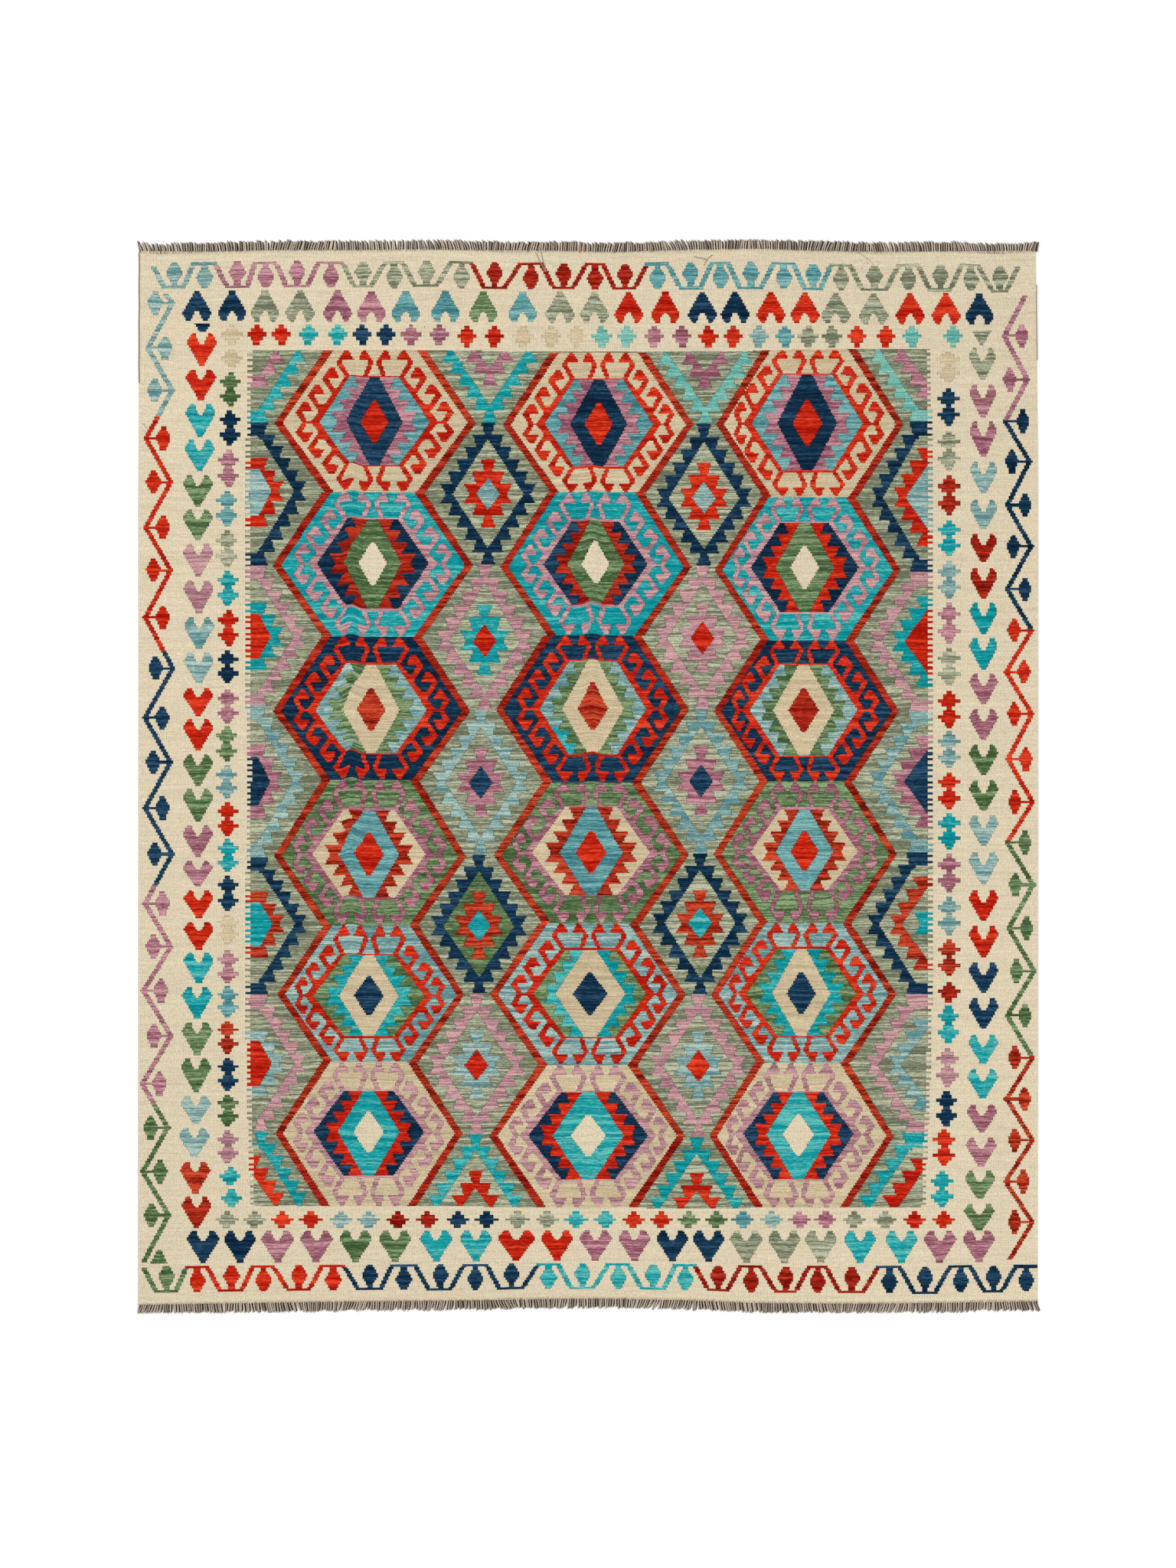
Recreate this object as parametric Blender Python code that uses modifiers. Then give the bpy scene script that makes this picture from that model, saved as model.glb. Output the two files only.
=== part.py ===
"""Flat-woven wool kilim rug, laid out on a floor.

Run in Blender 4.5:  blender --background --python part.py

Units are metres and +Z is up. The rug lies on z = 0 with its length along Y
and its width along X; the origin is under its centre. The cloth is one thin
open sheet with a thickness, bent up along its creases. Each end's knotted warp
fringe is a narrow strip beside the cloth's wavy end, with its strands standing
apart from one another and resting level on the floor.
"""

import math
import random
from collections import namedtuple

import bmesh
import bpy

# ------------------------------------------------------------- driving sizes
CLOTH_WIDTH = 2.500         # selvedge to selvedge
CLOTH_LENGTH = 2.920        # mean length between the two wavy woven ends
CLOTH_THICKNESS = 0.003
OVERALL_LENGTH = 2.984      # tip to tip over both fringes
PIECE_GAP = 0.0006          # between the cloth's end and a fringe's strip
COLUMN_STEP = 0.070         # widest column of the cloth's grid
ROW_STEP = 0.300            # tallest row of the cloth's grid

STRIP_WIDTH = 0.005         # knotted roots of the fringe
STRANDS_PER_END = 140
STRAND_SHARE = 0.64         # of each strand's pitch that is yarn
STRAND_SECTIONS = 2
STRAND_TIP_SCALE = 0.62
STRAND_LEAN = 0.006         # furthest sideways wander of a strand
STRAND_SHORTEST = 0.007     # by which a short strand misses the full reach

# A crease: soft ridge along Y, at x, from y_low to y_high.
Crease = namedtuple("Crease", "x y_low y_high half_width height")
CREASES = (
    Crease(x=-0.659, y_low=-0.610, y_high=1.180, half_width=0.028, height=0.0070),
    Crease(x=0.010, y_low=-0.110, y_high=0.900, half_width=0.028, height=0.0060),
    Crease(x=0.680, y_low=-0.420, y_high=-0.180, half_width=0.022, height=0.0030),
)

# How far the woven end runs past its mean line, at each x across the rug.
EndPoint = namedtuple("EndPoint", "x reach")
TOP_END = (
    EndPoint(-1.250, -0.0015), EndPoint(-1.198, -0.0070), EndPoint(-1.060, -0.0028),
    EndPoint(-0.889, 0.0015), EndPoint(-0.570, 0.0017), EndPoint(-0.410, 0.0050),
    EndPoint(-0.187, -0.0026), EndPoint(-0.102, 0.0000), EndPoint(0.069, -0.0040),
    EndPoint(0.281, 0.0026), EndPoint(0.452, 0.0060), EndPoint(0.622, 0.0009),
    EndPoint(0.792, -0.0043), EndPoint(0.941, -0.0008), EndPoint(1.048, -0.0015),
    EndPoint(1.133, -0.0068), EndPoint(1.250, -0.0002),
)
BOTTOM_END = (
    EndPoint(-1.250, 0.0079), EndPoint(-1.060, 0.0043), EndPoint(-0.762, 0.0000),
    EndPoint(-0.485, -0.0032), EndPoint(-0.272, -0.0051), EndPoint(-0.208, -0.0087),
    EndPoint(0.069, -0.0092), EndPoint(0.218, -0.0060), EndPoint(0.324, -0.0040),
    EndPoint(0.452, 0.0026), EndPoint(0.750, 0.0045), EndPoint(1.005, 0.0026),
    EndPoint(1.112, -0.0019), EndPoint(1.250, -0.0019),
)

# How far a selvedge is drawn in from the full width, at each y.
SidePoint = namedtuple("SidePoint", "y inset")
RIGHT_SIDE = (
    SidePoint(-1.460, 0.0010), SidePoint(-0.700, 0.0000), SidePoint(0.850, 0.0000),
    SidePoint(1.120, 0.0030), SidePoint(1.460, 0.0075),
)
LEFT_SIDE = (
    SidePoint(-1.460, 0.0000), SidePoint(0.300, 0.0008), SidePoint(0.700, 0.0000),
    SidePoint(1.160, 0.0020), SidePoint(1.460, 0.0024),
)

Finish = namedtuple("Finish", "color roughness metallic")
WOVEN_WOOL = Finish(color=(0.66, 0.57, 0.42), roughness=0.92, metallic=0.0)
FRINGE_WOOL = Finish(color=(0.36, 0.31, 0.26), roughness=0.90, metallic=0.0)


# ------------------------------------------------------------------- helpers
def clear_scene():
    """Remove every object the file opened with."""
    for thing in list(bpy.data.objects):
        bpy.data.objects.remove(thing, do_unlink=True)


def make_material(name, finish):
    """Principled material of one plain finish."""
    material = bpy.data.materials.new(name)
    material.use_nodes = True
    shader = material.node_tree.nodes["Principled BSDF"]
    shader.inputs["Base Color"].default_value = (*finish.color, 1.0)
    shader.inputs["Roughness"].default_value = finish.roughness
    shader.inputs["Metallic"].default_value = finish.metallic
    material.diffuse_color = (*finish.color, 1.0)
    return material


def along(table, at):
    """Value of a two-column table at a position, straight between its rows."""
    if at <= table[0][0]:
        return table[0][1]
    for (x0, v0), (x1, v1) in zip(table, table[1:]):
        if at <= x1:
            return v0 + (v1 - v0) * (at - x0) / (x1 - x0)
    return table[-1][1]


def crease_height(x, y):
    """How high the creases lift the sheet off the floor at a point."""
    lift = 0.0
    for crease in CREASES:
        across = abs(x - crease.x) / crease.half_width
        middle = (crease.y_low + crease.y_high) / 2
        down = abs(y - middle) / ((crease.y_high - crease.y_low) / 2)
        if across < 1.0 and down < 1.0:
            bump = math.cos(across * math.pi / 2) ** 2
            lift += crease.height * bump * math.sqrt(1.0 - down ** 2)
    return lift


def spread_lines(low, high, step, fixed):
    """Grid lines from low to high, through the fixed ones, no wider than step."""
    stops = sorted({low, high, *fixed})
    lines = [low]
    for start, end in zip(stops, stops[1:]):
        parts = max(1, math.ceil((end - start) / step - 1e-9))
        lines += [start + (end - start) * k / parts for k in range(1, parts + 1)]
    return lines


def drawn_in(x, y):
    """Place across the rug of a point of the flat rectangle."""
    side = RIGHT_SIDE if x > 0 else LEFT_SIDE
    return x * (1.0 - along(side, y) / (CLOTH_WIDTH / 2))


def cloth_point(x, y):
    """Place of a point of the flat rectangle on the rug as it lies."""
    toward, end = (1, TOP_END) if y > 0 else (-1, BOTTOM_END)
    # Only the last stretch of the cloth follows its end's wave.
    share = max(0.0, (abs(y) / (CLOTH_LENGTH / 2) - 0.85) / 0.15)
    return drawn_in(x, y), y + toward * along(end, x) * share, crease_height(x, y)


# ---------------------------------------------------------------- the pieces
def build_cloth(material):
    """The woven cloth, one sheet with its creases and its wavy ends."""
    folds = [point.x for point in TOP_END + BOTTOM_END]
    tapers = []
    for crease in CREASES:
        folds += [crease.x + crease.half_width * third / 3 for third in range(-3, 4)]
        reach = (crease.y_high - crease.y_low) / 2
        tapers += [crease.y_low + reach * f for f in (0.0, 0.2, 1.0, 1.8, 2.0)]
    half_width, half_length = CLOTH_WIDTH / 2, CLOTH_LENGTH / 2
    columns = spread_lines(-half_width, half_width, COLUMN_STEP, folds)
    rows = spread_lines(-half_length, half_length, ROW_STEP, tapers)

    mesh = bpy.data.meshes.new("kilim_cloth")
    shape = bmesh.new()
    across, down = len(columns) - 1, len(rows) - 1
    bmesh.ops.create_grid(shape, x_segments=across, y_segments=down, size=0.5)
    for vert in shape.verts:
        column = round((vert.co.x + 0.5) * across)
        row = round((vert.co.y + 0.5) * down)
        vert.co = cloth_point(columns[column], rows[row])
    shape.to_mesh(mesh)
    shape.free()

    cloth = bpy.data.objects.new("kilim_cloth", mesh)
    mesh.materials.append(material)
    solid = cloth.modifiers.new("thickness", "SOLIDIFY")
    solid.thickness = CLOTH_THICKNESS
    solid.offset = 1.0
    return cloth


def build_fringe(name, toward, end, seed, material):
    """One end's fringe: its knotted root strip with strands standing apart.

    toward is +1 for the end at +Y and -1 for the end at -Y.
    """
    dice = random.Random(seed)
    cells = 2 * STRANDS_PER_END + 1
    pitch = CLOTH_WIDTH / (STRANDS_PER_END + (1 - STRAND_SHARE))
    lines = [-CLOTH_WIDTH / 2]
    for cell in range(cells):
        share = STRAND_SHARE if cell % 2 else 1 - STRAND_SHARE
        lines.append(lines[-1] + pitch * share)

    shape = bmesh.new()
    bmesh.ops.create_grid(shape, x_segments=cells, y_segments=1, size=0.5)
    for vert in shape.verts:
        x = lines[round((vert.co.x + 0.5) * cells)]
        y = CLOTH_LENGTH / 2 + along(end, x) + PIECE_GAP
        if (vert.co.y > 0) == (toward > 0):
            y += STRIP_WIDTH
        vert.co = (drawn_in(x, toward * CLOTH_LENGTH / 2), toward * y, 0.0)
    floor_faces = list(shape.faces)
    raised = bmesh.ops.extrude_face_region(shape, geom=floor_faces)["geom"]
    for item in raised:
        if isinstance(item, bmesh.types.BMVert):
            item.co.z = CLOTH_THICKNESS
    bmesh.ops.recalc_face_normals(shape, faces=shape.faces)

    shape.normal_update()
    rim = [f for f in shape.faces if f.normal.y * toward > 0.9]
    rim.sort(key=lambda f: f.calc_center_median().x)
    for strand, face in enumerate(rim[1::2]):
        tip_y = OVERALL_LENGTH / 2
        if strand % 9:
            tip_y -= dice.uniform(0.0, STRAND_SHORTEST)
        lean = dice.uniform(-STRAND_LEAN, STRAND_LEAN)
        root = face.calc_center_median()
        for section in range(1, STRAND_SECTIONS + 1):
            face = bmesh.ops.extrude_discrete_faces(shape, faces=[face])["faces"][0]
            t = section / STRAND_SECTIONS
            middle = root.x + lean * t ** 1.5
            scale = 1.0 + (STRAND_TIP_SCALE - 1.0) * t
            half = pitch * STRAND_SHARE / 2 * scale
            before = face.calc_center_median().x
            for vert in face.verts:
                vert.co.x = middle + math.copysign(half, vert.co.x - before)
                vert.co.y = root.y + (toward * tip_y - root.y) * t
                if vert.co.z > 0:
                    vert.co.z = CLOTH_THICKNESS * scale

    mesh = bpy.data.meshes.new(name)
    shape.to_mesh(mesh)
    shape.free()
    fringe = bpy.data.objects.new(name, mesh)
    mesh.materials.append(material)
    return fringe


# ----------------------------------------------------------------- the rug
def main():
    clear_scene()
    rug = bpy.data.collections.new("kilim_rug")
    bpy.context.scene.collection.children.link(rug)
    wool = make_material("woven_wool", WOVEN_WOOL)
    yarn = make_material("fringe_wool", FRINGE_WOOL)
    for piece in (
        build_cloth(wool),
        build_fringe("fringe_top", 1, TOP_END, 3, yarn),
        build_fringe("fringe_bottom", -1, BOTTOM_END, 8, yarn),
    ):
        rug.objects.link(piece)


main()
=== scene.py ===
"""Look of the flat-woven kilim rug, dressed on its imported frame.

Units are metres, +Z is up and the rug lies on z = 0 with its length along Y.
The cloth is woven from a chart: runs of dyed yarn over pairs of warps, row by
row, with a slit wherever two colours meet along a warp.
"""

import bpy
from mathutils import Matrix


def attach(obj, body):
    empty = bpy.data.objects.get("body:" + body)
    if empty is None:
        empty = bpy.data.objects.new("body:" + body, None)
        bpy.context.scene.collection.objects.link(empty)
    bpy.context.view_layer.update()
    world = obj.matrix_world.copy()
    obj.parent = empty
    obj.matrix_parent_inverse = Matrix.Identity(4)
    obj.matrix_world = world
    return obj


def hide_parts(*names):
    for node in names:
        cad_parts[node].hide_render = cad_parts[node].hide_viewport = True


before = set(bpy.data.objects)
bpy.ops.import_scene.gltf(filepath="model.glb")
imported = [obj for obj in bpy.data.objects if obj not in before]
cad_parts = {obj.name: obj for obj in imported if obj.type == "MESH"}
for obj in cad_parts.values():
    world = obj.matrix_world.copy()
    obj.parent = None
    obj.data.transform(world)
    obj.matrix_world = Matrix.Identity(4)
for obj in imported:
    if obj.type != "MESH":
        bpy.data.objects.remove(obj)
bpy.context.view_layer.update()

import bisect
import logging
import math
import random
from collections.abc import Callable, Sequence
from dataclasses import dataclass, field, replace
from enum import Enum, IntEnum
from typing import NamedTuple

import bpy
import numpy as np
from mathutils import Vector

log = logging.getLogger("kilim")

# ------------------------------------------------------------------ real sizes
CLOTH_WIDTH = 2.500
CLOTH_LENGTH = 2.920
CLOTH_THICKNESS = 0.003
OVERALL_LENGTH = 2.984
CHART_UNIT = CLOTH_WIDTH / 1174.5     # one unit of the chart's ruled sheet
VIEW_UNITS = 2048                     # height of the view, in the same units

# Soft ridges along Y: x, y_low, y_high, half_width, height.
CREASES = (
    (-0.659, -0.610, 1.180, 0.028, 0.0070),
    (0.010, -0.110, 0.900, 0.028, 0.0060),
    (0.680, -0.420, -0.180, 0.022, 0.0030),
)
PULL, PULL_SPREAD = 1.9, 1.25         # a crease's pull on the weft, and how wide it works
END_START = 0.85                      # where the woven ends start to wander, as a share
# How far the woven end runs past its mean line: x, reach.
TOP_END = (
    (-1.250, -0.0015), (-1.198, -0.0070), (-1.060, -0.0028), (-0.889, 0.0015),
    (-0.570, 0.0017), (-0.410, 0.0050), (-0.187, -0.0026), (-0.102, 0.0000),
    (0.069, -0.0040), (0.281, 0.0026), (0.452, 0.0060), (0.622, 0.0009),
    (0.792, -0.0043), (0.941, -0.0008), (1.048, -0.0015), (1.133, -0.0068),
    (1.250, -0.0002),
)
BOTTOM_END = (
    (-1.250, 0.0079), (-1.060, 0.0043), (-0.762, 0.0000), (-0.485, -0.0032),
    (-0.272, -0.0051), (-0.208, -0.0087), (0.069, -0.0092), (0.218, -0.0060),
    (0.324, -0.0040), (0.452, 0.0026), (0.750, 0.0045), (1.005, 0.0026),
    (1.112, -0.0019), (1.250, -0.0019),
)
# How far a selvedge is drawn in: y, inset.
RIGHT_SIDE = ((-1.460, 0.0010), (-0.700, 0.0), (0.850, 0.0), (1.120, 0.0030), (1.460, 0.0075))
LEFT_SIDE = ((-1.460, 0.0), (0.300, 0.0008), (0.700, 0.0), (1.160, 0.0020), (1.460, 0.0024))


def along(table: Sequence[tuple[float, float]], at: float) -> float:
    """Value of a two-column table at a place, straight between its rows."""
    places, values = zip(*table)
    return float(np.interp(at, places, values))


def drawn_in(x: float, y: float) -> float:
    """Place across the rug of a point of the flat cloth."""
    side = RIGHT_SIDE if x > 0 else LEFT_SIDE
    return x * (1.0 - along(side, y) / (CLOTH_WIDTH / 2))


def under_creases(x: float, y: float, spread: float = 1.0
                  ) -> list[tuple[float, float, float]]:
    """The creases that a point lies on.

    Args:
        x: Place across the cloth.
        y: Place along it.
        spread: How far each crease works, as a share of its half width.
    Returns:
        Middle and height of each, and how near its ridge the point is, from 0 to 1.
    """
    found = []
    for middle_x, low, high, half_width, height in CREASES:
        across = abs(x - middle_x) / (half_width * spread)
        down = abs(y - (low + high) / 2) / ((high - low) / 2)
        if across < 1.0 and down < 1.0:
            found.append((middle_x, height, math.cos(across * math.pi / 2) ** 2
                          * math.sqrt(1.0 - down ** 2)))
    return found


def crease_height(x: float, y: float) -> float:
    """How high the creases lift a point of the cloth off the floor."""
    return sum((height * near for _, height, near in under_creases(x, y)), 0.0)


def pulled_up(x: float, y: float) -> float:
    """How far the creases pull a point of the flat cloth along Y, out of line with the rest."""
    return sum((PULL * height * (0.62 + 0.38 * math.sin(y * 31.0 + middle * 9.0)) * near
                for middle, height, near in under_creases(x, y, PULL_SPREAD)), 0.0)


def cloth_point(x: float, y: float) -> tuple[float, float, float]:
    """Place of a point of the flat cloth's underside on the rug as it lies.

    Args:
        x: Place across the flat cloth.
        y: Place along it.
    Returns:
        The point on the rug.
    """
    toward, end = (1, TOP_END) if y > 0 else (-1, BOTTOM_END)
    share = max(0.0, (abs(y) / (CLOTH_LENGTH / 2) - END_START) / (1 - END_START))
    along_y = y + toward * along(end, x) * share + pulled_up(x, y)
    return drawn_in(x, y), along_y, crease_height(x, y)


# ----------------------------------------------------------------------- chart
class Yarn(IntEnum):
    """The dyed yarns of the kilim, as they are numbered in its chart."""

    CREAM = 0
    RED = 1
    CRIMSON = 2
    RUST = 3
    NAVY = 4
    TURQUOISE = 5
    SKY = 6
    SAGE = 7
    GREEN = 8
    MAUVE = 9
    PINK = 10
    BEIGE = 11
    TEAL = 12
    AQUA = 13


(CREAM, RED, CRIMSON, RUST, NAVY, TURQUOISE, SKY, SAGE, GREEN, MAUVE, PINK, BEIGE, TEAL,
 AQUA) = Yarn
Points = Sequence[tuple[float, float]]


# The chart's ruled sheet. One unit is one row of weft; a column is a pair of warps.
SHEET_LEFT, SHEET_RIGHT = 180.5, 1355.0
SHEET_TOP, SHEET_BOTTOM = 328.0, 1700.0
COLUMN = 2.25
ROW = 1.6


@dataclass
class Chart:
    """The weaver's chart: which yarn covers each pair of warps on each row.

    Shapes are given in units on the ruled sheet, x to the right and y down.
    """

    rows: int = round((SHEET_BOTTOM - SHEET_TOP) / ROW)
    columns: int = round((SHEET_RIGHT - SHEET_LEFT) / COLUMN)
    yarn: np.ndarray = field(init=False)

    def __post_init__(self) -> None:
        """Start with the whole cloth in cream."""
        self.yarn = np.full((self.rows, self.columns), CREAM, np.uint8)

    def column(self, x: float) -> int:
        """Nearest line between two pairs of warps."""
        return min(self.columns, max(0, round((x - SHEET_LEFT) / COLUMN)))

    def run(self, row: int, left: float, right: float, yarn: Yarn, least: int = 0) -> None:
        """Lay one weft run.

        Args:
            row: Row of the chart.
            left: Where the run starts, in units.
            right: Where the run ends.
            yarn: Its yarn.
            least: Fewest columns the run covers.
        """
        first, last = self.column(left), self.column(right)
        if last - first < least:
            first = self.column((left + right) / 2 - least * COLUMN / 2)
            last = first + least
        self.yarn[row, first:last] = yarn

    def fill(self, points: Points, yarn: Yarn, least: int = 0) -> None:
        """Weave one closed shape.

        Args:
            points: Corners of the shape, in units.
            yarn: The yarn it is woven in.
            least: Fewest columns each of its runs covers.
        """
        ys = [y for _, y in points]
        first = max(0, math.ceil((min(ys) - SHEET_TOP) / ROW - 0.5))
        last = min(self.rows - 1, math.floor((max(ys) - SHEET_TOP) / ROW - 0.5))
        edges = list(zip(points, [*points[1:], points[0]]))
        for row in range(first, last + 1):
            y = SHEET_TOP + (row + 0.5) * ROW
            stops = sorted(
                x0 + (x1 - x0) * (y - y0) / (y1 - y0)
                for (x0, y0), (x1, y1) in edges
                if (y0 <= y) != (y1 <= y)
            )
            for left, right in zip(stops[::2], stops[1::2]):
                self.run(row, left, right, yarn, least)

    def block(self, left: float, top: float, right: float, bottom: float, yarn: Yarn) -> None:
        """Weave an upright rectangle."""
        self.fill([(left, top), (right, top), (right, bottom), (left, bottom)], yarn, 1)

    def change(self, left: float, top: float, right: float, bottom: float, old: Yarn,
               new: Yarn) -> None:
        """Swap one yarn for another inside an upright rectangle.

        Args:
            left: Its left side, in units.
            top: Its top.
            right: Its right side.
            bottom: Its bottom.
            old: The yarn taken out.
            new: The yarn woven instead.
        """
        high, low = (round((y - SHEET_TOP) / ROW) for y in (top, bottom))
        part = self.yarn[high:low, self.column(left):self.column(right)]
        part[part == old] = new

    def stroke(self, start: tuple[float, float], end: tuple[float, float], yarn: Yarn,
               width: float = 6.75) -> None:
        """Weave a slanting line of even width across.

        Args:
            start: Middle of its first end, in units.
            end: Middle of its other end.
            yarn: The yarn it is woven in.
            width: How wide each of its runs is.
        """
        (x0, y0), (x1, y1), half = start, end, width / 2
        self.fill([(x0 - half, y0), (x0 + half, y0), (x1 + half, y1), (x1 - half, y1)],
                  yarn, 2)


def mirrored(half: Points) -> list[tuple[float, float]]:
    """Whole outline of a motif from its right half."""
    return [*half, *[(-x, y) for x, y in reversed(half)]]


# Right halves of the border's small motifs, drawn from their top down.
HEART = ((4.0, 0.0), (4.0, 2.5), (20.0, 29.5), (20.0, 32.5), (13.6, 42.5), (8.3, 42.5),
         (7.4, 39.5), (6.6, 36.0), (2.2, 28.5))
EARED_HEART = ((3.8, 0.0), (3.8, 2.0), (17.5, 28.5), (17.5, 31.5), (12.6, 41.0), (8.2, 41.0),
               (7.2, 34.5), (2.2, 24.5))
CROSS = ((3.3, 0.0), (3.3, 4.6), (7.5, 4.6), (7.5, 10.3), (12.9, 10.3), (12.9, 15.8),
         (8.4, 15.8), (8.4, 21.8), (4.2, 21.8), (4.2, 28.3))
UPPER_CROSS = ((3.5, 0.0), (3.5, 4.6), (7.2, 4.6), (7.2, 10.0), (13.4, 10.0), (13.4, 14.9),
               (8.5, 14.9), (8.5, 19.2), (4.0, 19.2), (4.0, 24.2))
LOWER_CROSS = ((7.2, 0.0), (7.2, 5.5), (13.4, 5.5), (13.4, 10.8), (8.5, 10.8), (8.5, 15.2),
               (5.2, 15.2), (5.2, 19.0), (3.4, 19.0), (3.4, 22.4))
BUD = ((3.3, 0.0), (10.4, 12.5), (10.4, 16.0), (4.2, 26.0), (3.6, 31.0))
SIDE_BUD = ((3.0, 0.0), (3.0, 2.0), (9.4, 13.0), (9.4, 16.5), (4.0, 28.0), (4.0, 31.0))


@dataclass
class Motif:
    """A small border motif, drawn from one outline and stretched to its place."""

    outline: Points
    upside_down: bool = False

    def weave(self, chart: Chart, middle: float, top: float, bottom: float, yarn: Yarn,
              width: float = 0.0) -> None:
        """Weave the motif between two rows.

        Args:
            chart: The chart it goes into.
            middle: Its middle line, in units.
            top: Its highest row.
            bottom: Its lowest row.
            yarn: The yarn it is woven in.
            width: Its full width, or 0 for the outline's own.
        """
        tall = max(y for _, y in self.outline)
        wide = 2 * max(x for x, _ in self.outline)
        across = width / wide if width else 1.0
        points = []
        for x, y in mirrored(self.outline):
            share = 1 - y / tall if self.upside_down else y / tall
            points.append((middle + x * across, top + (bottom - top) * share))
        chart.fill(points, yarn, 1)


# Bars of the running vine along each end, low and high by turns: each stretch's yarn, then the
# left and right end of its bars.
TOP_BARS = (
    (SKY, ((210, 241), (249, 282))),
    (MAUVE, ((292.5, 324), (330, 361), (370.5, 402.5), (412.5, 449))),
    (SAGE, ((459, 486), (499, 527.5), (539, 572.5), (585.5, 617.5))),
    (CRIMSON, ((629, 661), (676, 709), (720, 750.5), (762.5, 790), (800, 831))),
    (TEAL, ((842.5, 874), (886, 917.5), (927.5, 954), (964, 997.5), (1009, 1039),
        (1050, 1075))),
    (SAGE, ((1084.5, 1114), (1125, 1161), (1172.5, 1202.5), (1214, 1245), (1256, 1282.5),
        (1296, 1319))),
)
BOTTOM_BARS = (
    (GREEN, ((201, 232),)),
    (RED, ((241, 272.5), (284.5, 318), (327.5, 359), (373, 406), (417.5, 451))),
    (NAVY, ((465, 499), (509, 544), (557, 591), (602.5, 637.5), (649, 685))),
    (TURQUOISE, ((699.5, 731), (742.5, 777.5), (791, 822.5), (835, 869), (879, 909))),
    (CRIMSON, ((922, 952), (964, 996), (1010, 1041), (1053, 1081), (1094, 1129.5))),
    (NAVY, ((1144, 1177.5), (1191, 1224), (1237.5, 1270), (1282.5, 1311), (1324, 1355))),
)


@dataclass
class EndVine:
    """The running vine along one end, with its buds on both sides."""

    bars: Sequence[tuple[Yarn, Points]]
    high: tuple[float, float]
    low: tuple[float, float]
    start: tuple[float, float] | None = None
    finish: tuple[float, float] | None = None
    thick: float = 3.4
    turn: float = 1.5
    stalk: float = 31.0

    def level(self, high: bool, x: float) -> float:
        """Top row of a bar."""
        at_left, at_right = self.high if high else self.low
        return at_left + (at_right - at_left) * (x - SHEET_LEFT) / (SHEET_RIGHT - SHEET_LEFT)

    def weave(self, chart: Chart) -> None:
        """Weave the vine's bars, slants and buds.

        Args:
            chart: The chart it goes into.
        """
        before = (self.start, self.bars[0][0]) if self.start else None
        bars = [(*ends, yarn) for yarn, stretch in self.bars for ends in stretch]
        for number, (left, right, yarn) in enumerate(bars):
            high = number % 2 == 1
            middle = (left + right) / 2
            top = self.level(high, middle)
            foot = top + self.thick
            chart.block(left, top, right, foot, yarn)
            if before:
                # A slant that climbs keeps the last bar's yarn; one that drops has the next.
                chart.stroke(before[0], (left + self.turn, foot if high else top),
                             before[1] if high else yarn)
            before = ((right - self.turn, foot if high else top), yarn)
            if high:
                hang = top + self.thick / 2 + 1
                Motif(BUD, True).weave(chart, middle + 0.6, hang, hang + 32, yarn)
            else:
                Motif(BUD).weave(chart, middle + 0.6, top - self.stalk, top, yarn)
        if self.finish and before:
            chart.stroke(before[0], self.finish, before[1])


@dataclass
class SideVine:
    """The zigzag vine down one side, with a bud in each of its bends."""

    points: Points
    stretches: Sequence[tuple[float, Yarn]]
    reach: float
    bud_width: float
    nub: float = 3.6
    stem: float = 1.7
    half_bud: float = 15.5

    def yarn_at(self, y: float) -> Yarn:
        """Yarn of the vine at a row."""
        return next(yarn for below, yarn in self.stretches if y <= below)

    def weave(self, chart: Chart) -> None:
        """Weave the vine from its top end down.

        Args:
            chart: The chart it goes into.
        """
        for start, end in zip(self.points, self.points[1:]):
            for below, yarn in self.stretches:
                low = max((y for y, _ in self.stretches if y < below), default=0.0)
                top, bottom = max(start[1], low), min(end[1], below)
                if top < bottom:
                    tilt = (end[0] - start[0]) / (end[1] - start[1])
                    chart.stroke((start[0] + tilt * (top - start[1]), top),
                                 (start[0] + tilt * (bottom - start[1]), bottom), yarn)
        for before, (x, y), after in zip(self.points, self.points[1:], self.points[2:]):
            inward = 1 if x < (before[0] + after[0]) / 2 else -1
            yarn = self.yarn_at(y)
            middle = x + inward * self.reach
            nub = x - inward * self.nub
            chart.block(min(nub, middle), y - self.stem, max(nub, middle), y + self.stem, yarn)
            Motif(SIDE_BUD).weave(chart, middle, y - self.half_bud, y + self.half_bud, yarn,
                                  self.bud_width)


LEFT_VINE = SideVine(
    ((214, 382), (224, 395), (192, 455), (223.6, 510), (190, 573), (222.5, 630), (190, 689),
     (222.5, 745), (189.5, 807), (225, 873), (188.6, 938), (222, 996), (189, 1056),
     (224, 1116), (189, 1180.6), (222.5, 1237), (187, 1294.4), (223, 1353.6), (185.3, 1416),
     (218.6, 1473.6), (186, 1531), (220, 1588), (187, 1648)),
    ((543.6, SKY), (851.4, RED), (1157, NAVY), (1442.5, MAUVE), (1700, GREEN)), 22.5, 19.0)
RIGHT_VINE = SideVine(
    ((1341, 386), (1313, 439), (1342.5, 496), (1313, 550.6), (1344, 603), (1315, 660),
     (1346, 714), (1315, 770), (1347, 823.6), (1313.6, 878), (1347, 933), (1316, 992),
     (1348, 1048), (1315, 1101), (1348.6, 1156), (1317, 1213), (1350, 1269), (1315, 1327),
     (1348, 1382), (1314.4, 1436), (1348, 1490), (1313, 1544), (1348, 1597), (1318, 1647)),
    ((549, MAUVE), (822, NAVY), (1100, RED), (1380, GREEN), (1700, RUST)), 23.0, 17.2)

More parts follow.
